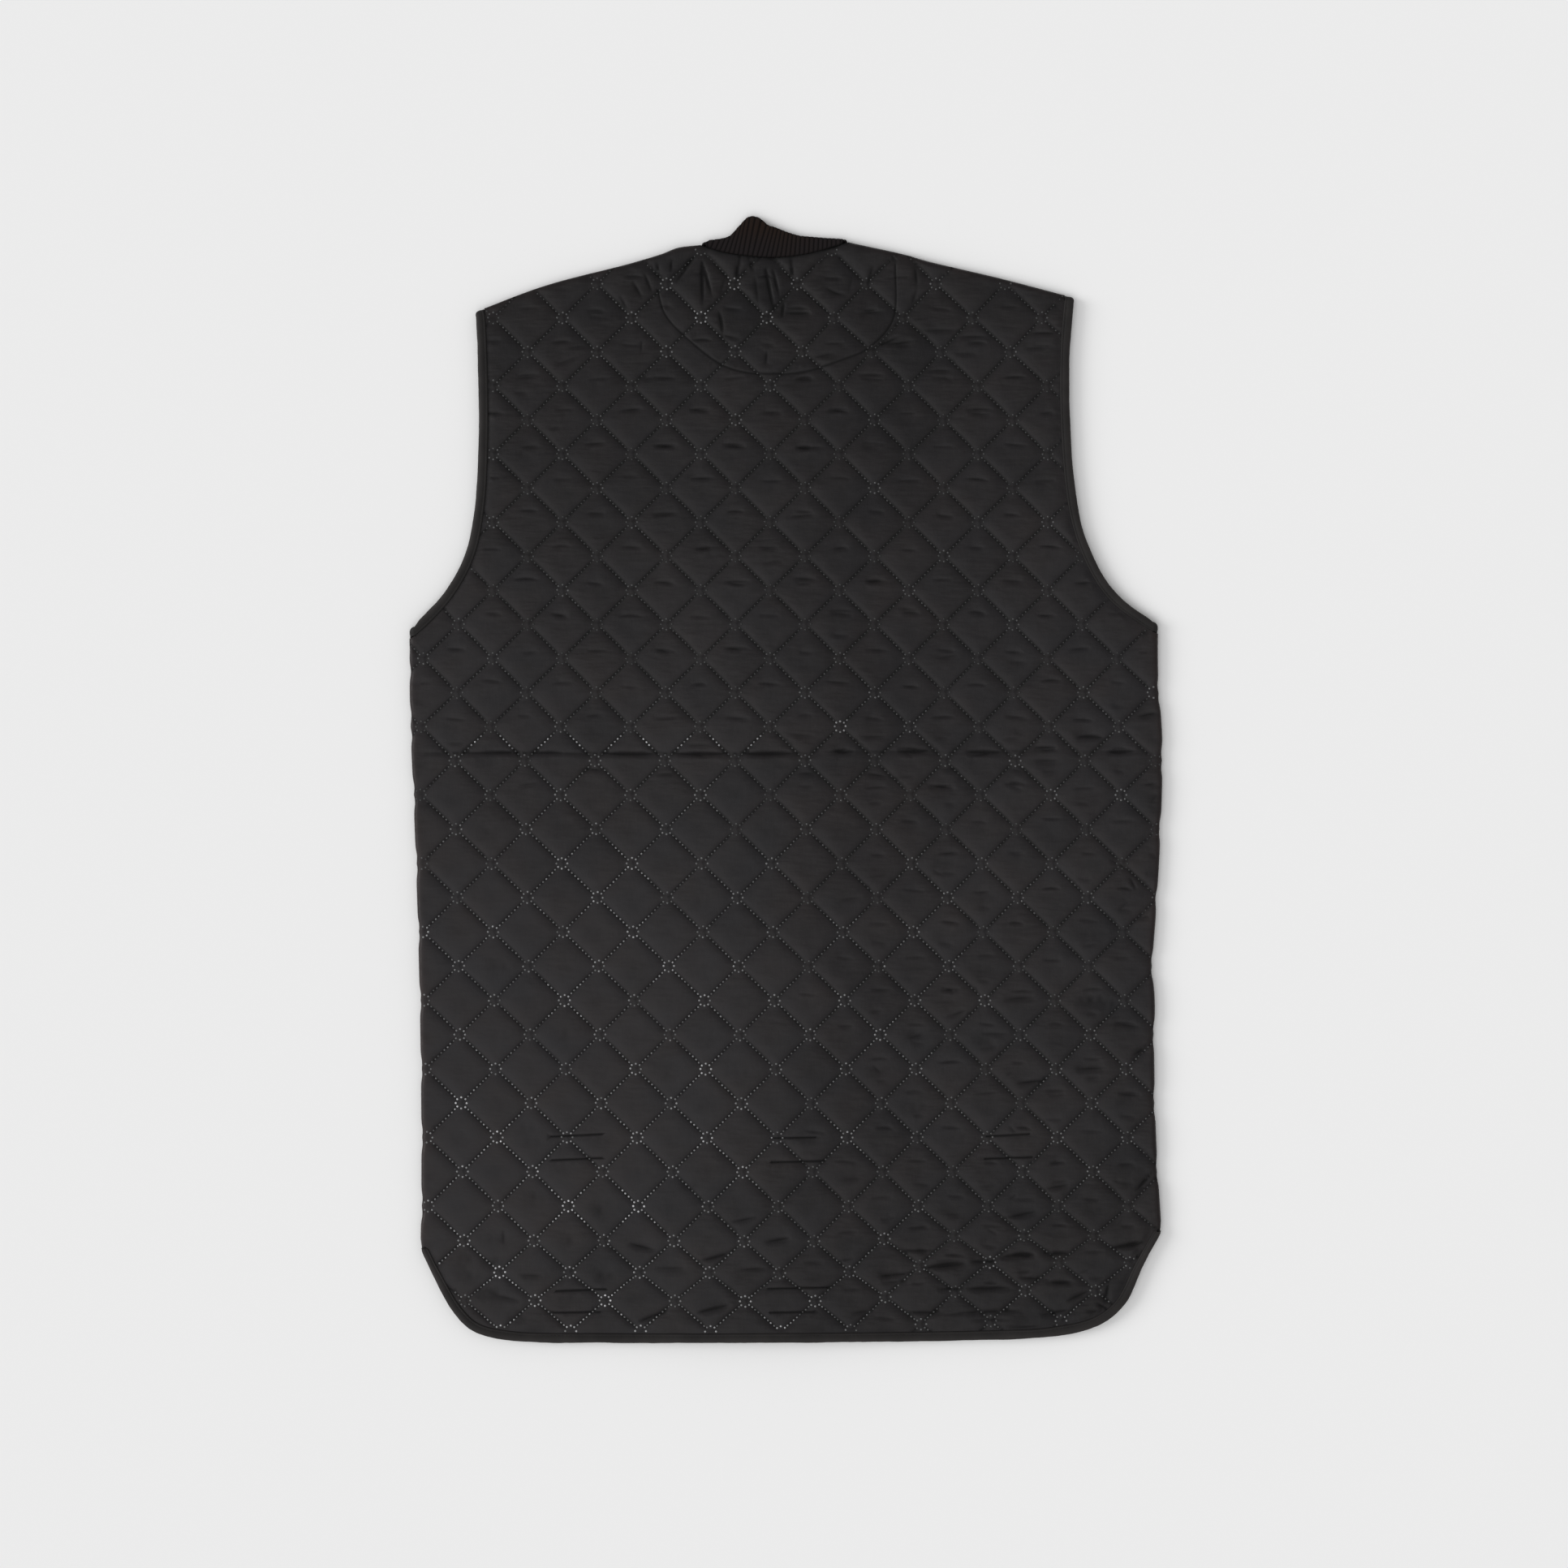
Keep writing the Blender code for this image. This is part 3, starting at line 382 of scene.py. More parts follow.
def scalloped(line, interior):
    """A side fold, drawn in a little wherever a weld line reaches it."""
    along = lengths(line)
    fade = ease(along, *SCALLOP_FADE) * ease(along[-1] - along, *SCALLOP_FADE)
    dent = SCALLOP * bell(from_line(*quilting_at(*line.T)), SCALLOP_HALF) * fade
    return line + dent[:, None] * inward_of(line, interior)


class Half:
    """One side's edge lines, all travelling up the garment."""

    def __init__(self, side, armhole, shoulder, interior):
        self.interior = interior
        self.side = scalloped(smooth(side), interior)
        self.armhole = smooth(armhole)
        self.shoulder = smooth(shoulder)
        self.underarm = Corner.at_end(self.side[::-1], -interior)
        self.tip = Corner.at_end(self.shoulder, interior)
        self.underarm.follow(self.armhole)
        self.tip.follow(self.armhole)
        share = np.linspace(0.0, 1.0, len(self.armhole))
        scoop = FRONT_SCOOP * np.sin(np.pi * share)[:, None] ** 1.5
        self.front_armhole = (
            self.armhole + scoop * inward_of(self.armhole, interior)
        )

    def armhole_inside(self, is_back):
        """The armhole between the binding's two turns."""
        line = self.armhole if is_back else self.front_armhole
        clear = TURN + 3.0
        for corner in (self.underarm, self.tip):
            line = line[(line - corner.at) @ corner.inward > clear]
        return line

    def edge(self, is_back):
        """The panel's edge from the side seam's end up to the neck point."""
        short = BIND_WIDTH + HAIR
        along = lengths(self.side)
        last = along[-1] - short - self.underarm.slide(0.0) - CORNER_CLEAR
        side = self.side[(along >= SEAM_END) & (along <= last)]
        along = lengths(self.shoulder)
        first = short + self.tip.slide(0.0) + CORNER_CLEAR
        shoulder = self.shoulder[(along >= first) & (along <= along[-1] - NECK_END)]
        hole = self.armhole_inside(is_back)
        hole = hole + EDGE_IN_BINDING * inward_of(hole, self.interior)
        low = self.underarm.notch(short)
        high = self.tip.notch(short)
        return np.vstack((side, low, hole, high[::-1], shoulder))


class Corner:
    """The end of a folded edge that a binding goes round.

    axis runs from the corner along the folded edge, inward is square to it.
    """

    def __init__(self, at, axis, inward):
        self.at, self.axis, self.inward = at, axis, inward

    @classmethod
    def at_end(cls, line, interior):
        axis = line[CORNER_POINT] - line[0]
        axis = axis / np.linalg.norm(axis)
        return cls(line[0], axis, np.array((axis[1], -axis[0])) * interior)

    def follow(self, line):
        """Let the binding meet the edge line that runs on from this corner."""
        beside = np.argmin(np.abs((line - self.at) @ self.inward - TURN))
        self.shift = max(float((line[beside] - self.at) @ self.axis), -CORNER_SHIFT)

    def slide(self, level):
        """How far along the axis the binding lies; level is 0 at the fold itself."""
        return self.shift * (0.3 + 0.7 * level)

    def notch(self, short):
        at_fold = self.at + (short + self.slide(0.0)) * self.axis
        beside = self.at + (short + self.slide(1.0)) * self.axis + TURN * self.inward
        return np.vstack((at_fold, beside))


HALF_LEFT = Half(LEFT_SIDE, LEFT_ARMHOLE, LEFT_SHOULDER, 1)
HALF_RIGHT = Half(RIGHT_SIDE, RIGHT_ARMHOLE, RIGHT_SHOULDER, -1)
HEM_LINE = smooth(HEM)
NECK_LINE = smooth(BACK_NECK)


def neckline(half, direction):
    """Front neckline from a neck point, a quarter ellipse down to the closing."""
    corner = half.shoulder[-1]
    bottom = corner[1] - FRONT_NECK_DROP
    middle = closing(bottom)
    turn = np.linspace(0.0, np.pi / 2, 80)
    curve = np.column_stack((
        middle + (corner[0] - middle) * np.cos(turn),
        corner[1] - FRONT_NECK_DROP * np.sin(turn),
    ))
    return np.vstack((curve, (middle + direction * LAP, bottom)))


def front_edge_line(half, direction):
    """Hem of a front from its side seam, round the corner and up its edge."""
    hem = HEM_LINE if direction > 0 else HEM_LINE[::-1]
    share = np.linspace(0.0, 1.0, len(hem))
    rise = FRONT_HEM_RISE * np.minimum(1.0, share * 8.0)[:, None]
    hem = hem + rise * inward_of(hem, -direction)
    turn_x = closing(HEM_MIDDLE) + direction * (LAP - FRONT_CORNER)
    hem = hem[(hem[:, 0] - turn_x) * direction < -1.0]
    centre = np.array((turn_x, hem[-1][1] + FRONT_CORNER))
    turn = np.linspace(0.0, np.pi / 2, 31)
    corner = centre + FRONT_CORNER * np.column_stack((
        direction * np.sin(turn), -np.cos(turn)
    ))
    top = half.shoulder[-1][1] - FRONT_NECK_DROP
    heights = np.arange(corner[-1][1] + 2.0, top, 2.0)
    edge = np.column_stack((closing(heights) + direction * LAP, heights))
    return np.vstack((hem, corner, edge, (closing(top) + direction * LAP, top)))


# A wrinkle of the laid cloth: its middle, half length, rise to the right in degrees,
# depth and half width, and how much its middle lies below its ends
Crease = namedtuple("Crease", "across height half tilt depth width sag", defaults=(0,))
BACK_CREASES = tuple(Crease(*row) for row in (
    # the fold pressed across the waist
    (-215, 19.6, 62, 0, 0.75, 1.3), (-118, 19.2, 56, 0, 0.85, 1.3),
    (-22, 19.2, 52, 0, 0.7, 1.4), (72, 20.6, 50, 0, 0.4, 1.5),
    (165, 21.0, 48, 1, 0.3, 1.5), (238, 20.6, 34, 1, 0.3, 1.4),
    (-208, 20.3, 16, 0, 0.5, 1.4), (-176, 20.0, 12, 0, 0.6, 1.4),
    (-114, 18.6, 17, -1, 0.7, 1.5), (-63, 19.1, 20, 0, 1.0, 1.5, 0.4),
    (-13, 19.0, 18, 1, 1.0, 1.6), (42, 20.8, 9, 0, 0.9, 1.6, 0.5),
    (95, 21.3, 13, 3, 1.2, 1.7, 0.5), (147, 20.3, 15, -1, 1.1, 1.7, 0.4),
    (191, 23.6, 10, 0, 0.8, 1.5), (225, 30.6, 11, -2, 1.3, 1.6, -1.2),
    (248, 20.5, 11, 3, 0.9, 1.6), (193, 14.0, 10, 0, 0.5, 1.5),
    # just below it
    (-142, 6.3, 11, -2, 0.8, 1.3, -1.0), (-88, 4.1, 9, 2, 0.5, 1.3),
    (-190, -3.4, 8, 8, 0.4, 1.3), (16, 4.5, 8, 0, 0.6, 1.4), (67, 3.3, 9, -8, 0.7, 1.4),
    (114, -5.4, 11, -6, 0.7, 1.5), (121, 7.5, 7, 0, 0.4, 1.3),
    (171, 6.6, 8, -10, 0.5, 1.4), (167, -3.4, 6, 0, 0.5, 1.4),
    # just above it
    (11, 33, 11, -4, 0.45, 1.6, 0.5), (64, 32, 11, 0, 0.55, 1.6, 0.5),
    (-64, 25.3, 11, 0, 0.4, 1.5), (-36, 45.3, 10, -4, 0.5, 1.4),
    (268, 48, 9, 12, 0.8, 1.6), (-244, 26.6, 8, 0, 0.3, 1.5),
    # under the arms
    (-36, 146, 11, 0, 0.6, 1.4), (-168, 121.6, 7, -14, 0.45, 1.2),
    (-91, 95, 7, -14, 0.5, 1.3), (-39, 96.6, 8, -8, 0.5, 1.3),
    (14, 148, 10, -4, 0.7, 1.5), (66, 146.6, 9, 0, 0.6, 1.5),
    (90, 125.8, 8, -8, 0.4, 1.4), (41, 124.6, 10, 0, 0.5, 1.5),
    (41, 106.3, 7, 0, 0.35, 1.3), (120, 90.8, 8, 10, 0.5, 1.4),
    (172, 86.6, 7, 0, 0.4, 1.4),
    # shoulders
    (-102, 296.5, 7, 6, 0.5, 1.2), (-64, 272.7, 8, -6, 0.55, 1.2),
    (-88, 246.5, 10, 0, 0.6, 1.2), (-38, 245.7, 10, -3, 0.6, 1.2),
    (18, 244.9, 12, 2, 0.7, 1.3), (13, 295.3, 7, 0, 0.5, 1.2),
    (63, 298.9, 11, 0, 0.65, 1.2), (39, 273.3, 8, 0, 0.4, 1.3),
    (-89, 196.5, 11, 2, 0.55, 1.2), (-58, 171.3, 10, 4, 0.45, 1.3),
    (14, 197.7, 7, -4, 0.55, 1.2), (-10, 160.5, 8, 10, 0.4, 1.5),
    (63, 245.7, 7, 0, 0.4, 1.3), (84, 323, 11, 6, 0.8, 1.5, 0.6),
    (139, 327.7, 12, 0, 0.7, 1.4, 0.5), (115, 332, 14, 0, 0.6, 1.4),
    (191, 330, 12, 0, 0.8, 1.3), (185, 319, 8, 2, 0.5, 1.2),
    (114, 302.3, 10, 0, 0.6, 1.3), (143, 273.7, 11, 0, 0.65, 1.3),
    (132, 315, 9, 0, 0.35, 1.2), (-153, 320, 8, 8, 0.45, 1.1),
    (-161, 310, 9, 22, 0.4, 1.1), (-191, 299, 9, 4, 0.5, 1.2),
    (-196, 286, 6, 0, 0.4, 1.2), (-141, 342.3, 5, 0, 0.3, 1.2),
    (-171, 259.9, 5, 12, 0.4, 1.1),
    # gathers below the collar
    (-62, 367.5, 18, 91, 1.5, 1.4), (-58.5, 370, 15, 106, 1.2, 1.3),
    (-12.6, 364, 19, 101, 1.5, 1.4), (-7.6, 367.5, 13, 103, 1.1, 1.3),
    (-35.7, 379, 10, 82, 1.6, 1.5), (4.2, 378, 9, 93, 1.6, 1.5),
    (-75, 377, 13, 55, 1.3, 1.6), (-102, 367, 9, 112, 0.9, 1.4),
    (-95, 378, 7, 95, 1.0, 1.3), (-85, 380, 6, 88, 0.9, 1.3),
    (-110, 362, 8, 120, 0.8, 1.4), (-120, 352, 7, 118, 0.6, 1.4),
    (-2.5, 347, 7, 84, 1.4, 1.4), (-49, 338, 10, 100, 1.2, 1.6, 1.0),
    (-42, 327, 9, -12, 0.7, 1.4), (9, 344.7, 10, 0, 1.0, 1.4),
    (-26, 381, 7, 112, 0.9, 1.4), (37, 361, 9, -20, 0.8, 1.5, 1.5),
    (47, 368, 8, 80, 0.5, 1.5, 1.0), (62, 372, 10, 75, 0.7, 1.5),
    (96, 372, 9, 95, 0.9, 1.4), (94.5, 356, 9, 73, 0.6, 1.4),
    (-47, 365, 9, 75, 0.6, 1.5), (-22, 362, 12, 97, 0.7, 1.5),
    (-14.7, 311, 6, 86, 0.8, 1.3), (-107, 320, 5, 88, 0.6, 1.2),
    (64, 345, 10, 4, 0.7, 1.4), (72, 322, 14, 24, 1.0, 1.5), (28, 313, 9, 12, 0.6, 1.4),
    # right flank
    (230, -165, 18, -9, 1.4, 2.2, -0.8), (173, -162.4, 12, 4, 0.5, 1.5, -0.8),
    (182, -223.4, 13, 6, 0.9, 1.6), (127, -173, 7, 20, 0.6, 1.6),
    (247, -63.7, 10, -31, 0.8, 1.4), (256.4, -77, 6, -63, 0.7, 1.3),
    (265, -102, 5, 10, 0.5, 1.3), (225, -213.7, 11, 3, 0.6, 1.7),
    (253, -182, 10, -8, 0.6, 1.7), (254, -233.4, 9, -4, 0.55, 1.6),
    (262, -200, 7, 40, 0.9, 1.5), (155, -188, 11, 0, 0.5, 1.5),
    (199, -230, 9, 0, 0.45, 1.6), (96, -190, 6, 14, 0.45, 1.5),
    (49, -88, 9, 6, 0.35, 1.5),
    # above the hem
    (-106, -345, 11, -14, 0.77, 1.5, 0.5), (-51, -351.7, 13, 16, 1.1, 1.8, 0.8),
    (-54, -391, 13, 14, 1.21, 1.8), (-98, -396.7, 13, 20, 1.1, 1.8),
    (-31, -325, 11, 12, 0.66, 1.7), (-24, -361.4, 11, 3, 0.66, 1.3),
    (-85, -361, 12, 0, 0.39, 1.8), (-6, -340, 10, 10, 0.88, 1.7),
    (-234, -366.7, 10, -8, 0.66, 2.2), (-188, -366.7, 9, 0, 0.5, 1.8),
    (-217, -357, 9, 0, 0.9, 2.6), (-220, -379, 10, -4, 0.9, 2.6),
    (-197, -398, 9, -6, 0.8, 2.4), (-186, -308, 9, 4, 0.6, 2.6),
    (-192, -258, 8, 0, 0.4, 2.4), (-138, -319, 8, -20, 0.8, 2.4),
    (-135, -366.7, 9, 0, 0.7, 2.4), (-236, -354, 8, 0, 0.7, 2.4),
    (-160, -340, 7, 0, 0.5, 2.3), (-70, -300, 9, 0, 0.45, 2.6),
    (-206, -383.4, 11, -14, 0.5, 1.6), (-209, -338, 6, 92, 0.44, 1.4),
    (201, -301, 8.8, 12, 0.75, 1.5), (174, -321.7, 12.5, 12, 0.88, 1.6),
    (117, -360, 17.5, 6, 1.38, 1.9, -0.8), (171, -352.5, 13.8, 4, 1.12, 1.8, -0.8),
    (200, -350, 11.2, 0, 1.5, 1.9, 0.5), (147, -356, 11.2, 0, 1.25, 1.8, 0.5),
    (253, -344, 13.8, 10, 1.5, 1.9, 0.5), (265, -297, 10, 50, 1.25, 1.6),
    (150, -376, 17.5, 1, 1.12, 1.5), (122, -376.7, 11.2, 0, 0.88, 1.6),
    (102, -394, 16.2, 0, 0.88, 1.5), (151, -393.4, 25, 2, 1, 1.5),
    (199, -394, 11.2, 10, 1, 1.6), (151, -399.5, 13.8, 0, 0.62, 1.3),
    (176, -405, 12.5, 3, 0.75, 1.3), (82, -366, 13.8, 4, 0.88, 1.7),
    (81, -371.7, 11.2, 0, 0.56, 1.4), (44, -355, 6, 10, 0.55, 1.5),
    (57, -393.4, 9, 6, 0.66, 1.6), (203, -371.7, 11.2, 0, 0.88, 1.6),
    (216, -381.7, 10, 25, 1, 1.5), (237, -379, 11.2, 80, 0.88, 1.5),
    (235.6, -391, 7.5, -35, 1.12, 1.4), (183, -369, 12.5, -4, 0.88, 1.5),
    (96, -348.4, 15, 0, 0.75, 1.5), (261, -353, 8.8, 20, 0.75, 1.5),
))

# The stitch line that curves below the neck, from its left end to its right end
HALF_MOON = places(
    ("left end", -95.0, 362.0), ("left", -89.1, 343.5), ("left turn", -71.1, 324.3),
    ("lower left", -47.1, 306.3), ("bottom left", -29.1, 300.6),
    ("bottom", -11.1, 299.7), ("bottom right", 12.9, 300.9),
    ("lower right", 42.9, 310.5), ("right turn", 60.0, 318.0), ("right", 78.9, 339.3),
    ("right end", 81.0, 384.0),
)
HALF_MOON_LINE = resample(smooth(HALF_MOON), STITCHED_STEP)
Dash = namedtuple("Dash", "name left left_height right right_height")
DASHES = tuple(Dash(*row) for row in (      # short lines pressed in, in pairs
    ("left pair, upper", -174.0, -264.0, -136.0, -262.2),
    ("left pair, lower", -173.0, -281.4, -136.0, -279.8),
    ("middle pair, upper", -11.0, -264.8, 22.0, -264.4),
    ("middle pair, lower", -11.0, -282.6, 28.0, -281.8),
    ("right pair, upper", 148.0, -263.8, 180.0, -262.2),
    ("right pair, lower", 147.0, -280.4, 182.0, -279.2),
    ("low left pair, upper", -170.0, -378.2, -133.0, -376.8),
    ("low left pair, lower", -172.0, -394.2, -137.0, -393.6),
    ("low middle pair, upper", -13.0, -376.0, 30.0, -375.2),
    ("low middle pair, lower", -12.0, -393.6, 20.0, -393.2),
))
DASH_LINES = [
    resample(np.array(((d.left, d.left_height), (d.right, d.right_height))),
             STITCHED_STEP)
    for d in DASHES
]
CREASED = 1.35          # how deep the creases of the tables are laid
STEEP = 0.55            # and the share of it in one that runs up the vest
WIDE = 2.1              # from this half width a crease is a soft hollow
SHALLOW = 0.28          # one that is less deep is too slight for rows of its own
STITCHED_GROOVE = 0.7
STITCHED_HALF = 0.7
# painted shade in the short pressed lines
DASH_SHADE = 0.45

# Wrinkles inside each diamond, one row for each kind: where its middle is above the
# diamond's middle, the least and most of the rest in the same terms as a Crease, and
# how strong it is from the chest up, at the lower left and at the lower right
Kind = namedtuple("Kind", "up spread half tilt depth width strength")
DIAMOND_WRINKLES = tuple(Kind(*row) for row in (
    (6.5, 2.0, (5.5, 9.5), 6.0, (0.30, 0.75), (0.8, 1.3), (1.0, 0.3, 0.9)),
    (-1.0, 3.0, (8.0, 12.0), 5.0, (0.18, 0.38), (2.3, 3.4), (0.6, 1.0, 1.2)),
    (-9.0, 3.0, (4.0, 8.0), 10.0, (0.15, 0.40), (1.3, 2.0), (0.7, 0.5, 1.0)),
    (1.0, 9.0, (3.0, 5.5), 45.0, (0.10, 0.35), (1.0, 1.6), (0.8, 0.3, 1.0)),
))


def diamond_creases(cloth, seed):
    """The short wrinkles inside the diamonds of a panel."""
    chance = np.random.default_rng(seed)
    creases = []
    for p in range(-8, 20):
        for q in range(-20, 8):
            draws = chance.uniform(-1.0, 1.0, (len(DIAMOND_WRINKLES), 7))
            middle = np.array(quilt_place(p + 0.5, q + 0.5)) + cloth.shift
            if not inside(cloth.outline, middle[None])[0]:
                continue
            upper = ease(middle[1], 0.0, 80.0)
            right = (1.0 - upper) * ease(middle[0], -20.0, 100.0)
            region = np.array((upper, 1.0 - upper - right, right))
            for kind, draw in zip(DIAMOND_WRINKLES, draws):
                spans = zip((kind.half, kind.depth, kind.width), (draw[3:6] + 1.0) / 2)
                half, depth, width = (
                    low + (high - low) * share for (low, high), share in spans
                )
                creases.append(Crease(
                    middle[0] + draw[0] * kind.spread,
                    middle[1] + kind.up + draw[1] * kind.spread,
                    half, draw[2] * kind.tilt, depth * float(region @ kind.strength),
                    width, draw[6] * 0.8,
                ))
    return creases


def level(crease):
    """1 for a crease that runs across the vest, 0 for one that runs up it."""
    return abs(math.cos(math.radians(crease.tilt)))


# Sections of a crease, each by the distance from its middle line

def trough(off, crease):
    """Its form: sharp within a softer one, with a low ridge below it."""
    off = off / crease.width
    return crease.depth * (STEEP + (1.0 - STEEP) * level(crease)) * (
        0.75 * bell(off, 1.0) + 0.35 * bell(off, 3.2)
        - 0.3 * level(crease) * bell(off + 2.4, 1.3)
    )


def dark_line(off, crease):
    """The painted shade deep in it, wider in one that runs up the vest."""
    return crease.depth * bell(off, (0.85 - 0.3 * level(crease)) * crease.width)


def soft_shade(off, crease):
    """The painted shade in a wide hollow."""
    return crease.depth * bell(off, 0.9 * crease.width)


def strip(off, crease):
    """More than 0 where it has its own rows of points."""
    return crease.depth * (np.abs(off) < 3.4 * crease.width)


def over_creases(x, y, creases, section):
    """The creases' depths, each spread by a section, added up."""
    total = np.zeros_like(x)
    for crease in creases:
        reach = crease.half + 5 * crease.width
        near = np.flatnonzero(
            (np.abs(x - crease.across) < reach) & (np.abs(y - crease.height) < reach)
        )
        tilt = math.radians(crease.tilt)
        u, v = x[near] - crease.across, y[near] - crease.height
        share = (u * math.cos(tilt) + v * math.sin(tilt)) / crease.half
        fade = np.maximum(0.0, 1.0 - share ** 2)
        off = v * math.cos(tilt) - u * math.sin(tilt) + crease.sag * fade
        total[near] += fade * section(off, crease)
    return total


def sharp_ones(creases):
    return [c for c in creases if c.depth > SHALLOW and c.width < WIDE]


def wide_ones(creases):
    return [c for c in creases if c.width >= WIDE]


def crease_points(creases):
    """Points for the sharper creases, in rows beside their middle lines."""
    points = []
    for crease in sharp_ones(creases):
        tilt = math.radians(crease.tilt)
        share = np.linspace(-0.97, 0.97, 2 + round(2 * crease.half / CREASE_STEP))
        for row in CREASE_ROWS:
            off = row * crease.width - crease.sag * (1.0 - share ** 2)
            along = share * crease.half
            points.append(np.column_stack((
                crease.across + along * math.cos(tilt) - off * math.sin(tilt),
                crease.height + along * math.sin(tilt) + off * math.cos(tilt),
            )))
    return np.vstack(points)


def slow_waves(x, y):
    """The cloth doesn't lie quite flat."""
    return (
        0.35 * np.sin(x / 61.0 + 0.7) * np.sin(y / 83.0 + 2.1)
        + 0.25 * np.sin(x / 37.0 - y / 120.0 + 1.3)
        + 0.20 * np.sin(y / 29.0 + x / 150.0 + 0.4)
    )


def pillow(p, q):
    """How far the cloth has risen between its weld lines, from 0 to 1."""
    rise = 1.0
    for away in off_lines(p, q):
        rise = rise * (1.0 - (1.0 - np.minimum(away / PILLOW_EDGE, 1.0)) ** 2.2)
        rise = rise * (0.9 + 0.1 * np.sin(np.pi * np.minimum(away / DIAMOND, 0.5)))
    return rise


def groove(p, q):
    """The narrow groove along each weld line, and the small puff inside each ring."""
    line = bell(from_line(p, q), GROOVE_HALF)
    ring = bell(from_crossing(p, q), 0.55 * RING)
    return GROOVE * line * out_of_ring(p, q) - RING_PUFF * ring


def from_crossing(p, q):
    """How far a place in the quilting is from the nearest crossing."""
    return np.hypot(*off_lines(p, q))


def out_of_ring(p, q):
    """0 inside the ring of dots round a crossing, and 1 outside it."""
    return ease(from_crossing(p, q), RING - 0.6, RING + 2.2)


class Cloth:
    """A quilted panel: its outline, what it lies on and how its edges are held.

    side is 1 where the outer face looks up, as on the back, and -1 where it looks down.
    """

    def __init__(self, side, base, outline, folds, bound, neck, shift, creases,
                 stitched, seed):
        self.side = side
        self.base = base
        self.outline = outline
        self.folds = folds
        self.bound = bound
        self.neck = neck
        self.shift = np.array(shift)
        self.stitched = stitched
        self.seed = seed
        self.creases = list(creases) + diamond_creases(self, seed)

    def quilting(self, points):
        """The places in the quilting of points of this panel."""
        return quilting_at(*(points - self.shift).T)

    def nearest(self, points):
        """Distances from the folded, the bound and the neck edges."""
        fold = np.min([distance(line, points) for line in self.folds], axis=0)
        bound = np.min([distance(line, points) for line in self.bound], axis=0)
        return fold, bound, distance(self.neck, points)

    def relief(self, points, outer):
        """How far a face stands out from its plane, away from the edges."""
        x, y = points.T
        p, q = self.quilting(points)
        rise = pillow(p, q)
        if not outer:
            return -INNER_SINK * (1.0 - rise)
        gathered = 1.0 + GATHERED * self.gather(x, y)
        relief = -WELD_SINK * gathered * (1.0 - rise) - groove(p, q)
        relief -= CREASED * (0.45 + 0.55 * rise) * over_creases(
            x, y, self.creases, trough
        )
        for line in self.stitched:
            relief -= STITCHED_GROOVE * bell(distance(line, points), STITCHED_HALF)
        if self.side < 0:
            return np.minimum(relief, 0.0)
        return relief + PUFF + slow_waves(x, y)

    def gather(self, x, y):
        """1 below the back neck, where the seam draws the cloth in, and 0 elsewhere."""
        if self.side < 0:
            return np.zeros_like(x)
        across, up = (
            bell(value - at, reach)
            for value, at, reach in zip((x, y), GATHER_AT, GATHER_REACH)
        )
        return across * up

    def heights(self, points, outer):
        """Height of the outer or the inner face at each point."""
        side = self.side if outer else -self.side
        base = self.base(*points.T)
        face = base + (CLOTH if side > 0 else 0.0) + side * self.relief(points, outer)
        fold, bound, neck = self.nearest(points)
        thin = base + (BIND_HIGH + side * BOUND_CLOTH) / 2
        face = thin + (face - thin) * ease(bound, *OPENING)
        face = face - side * NECK_PINCH * (1.0 - ease(neck, 0.0, NECK_REACH))
        rim = FOLD_TOP if outer else FOLD_LIP
        if self.side < 0:
            rim = WHOLE - rim
        share = np.minimum(fold / FOLD_REACH, 1.0)
        curve = np.sqrt(1.0 - (1.0 - share) ** 2) if outer else share
        return rim + (face - rim) * curve

    def quilt_points(self, rows):
        """Points in rows at these distances from the weld lines."""
        offsets = np.array(rows) / DIAMOND
        lines = np.arange(-21, 21)[:, None]
        values = np.unique(np.round(np.concatenate(
            (lines + offsets, lines - offsets), axis=None
        ), 6))
        p, q = np.meshgrid(values, values)
        p, q = p.ravel(), q.ravel()
        near = on_quilt(p, q)
        return np.column_stack(quilt_place(p[near], q[near])) + self.shift

    def finer(self, grid):
        """The points with a crease's own rows and a stitched line's in their place."""
        taken = over_creases(*grid.T, sharp_ones(self.creases), strip) > 0.02
        grid = grid[~taken | (from_line(*self.quilting(grid)) < ROWS_KEPT)]
        extra = crease_points(self.creases)
        extra = extra[from_line(*self.quilting(extra)) > ROWS_CLEAR]
        rows = [grid, extra]
        for line in self.stitched:
            across = inward_of(line, 1)
            rows += [line + off * across for off in STITCHED_ROWS]
        return np.vstack(rows)

    def points(self, rows, edge_rows, fine):
        """Points over the panel: the quilting's own rows, and rows along its edges."""
        grid = self.quilt_points(rows)
        if fine:
            grid = self.finer(grid)
        grid = grid[inside(self.outline, grid)]
        closed = np.vstack((self.outline, self.outline[:1]))
        grid = grid[distance(closed, grid, 12.0) > edge_rows[-1] + 0.8]
        points = [grid]
        line = resample(closed, OUTLINE_STEP)
        inward = inward_of(line, self.travel())
        for inset in edge_rows:
            row = line + inset * inward
            row = row[inside(self.outline, row)]
            points.append(row[distance(closed, row, 12.0) > inset - 0.12])
        return np.vstack(points)

    def travel(self):
        """1 when the panel is on the right of its outline's travel."""
        x, y = self.outline.T
        turn = np.sum(x * np.roll(y, -1) - y * np.roll(x, -1))
        return 1 if turn < 0 else -1

    def face(self, rows, edge_rows, outer):
        """Vertices and triangles of one face; the outline's points come first."""
        points = np.vstack((self.outline, self.points(rows, edge_rows, outer)))
        count = len(self.outline)
        rim = [(k, (k + 1) % count) for k in range(count)]
        places, _, triangles, _, _, _ = delaunay_2d_cdt(
            [Vector(p) for p in points], rim, [list(range(count))], 1, 1e-4
        )
        plan = np.array([p[:] for p in places])
        heights = self.heights(plan, outer)
        return np.column_stack((plan, heights)), np.array(triangles)


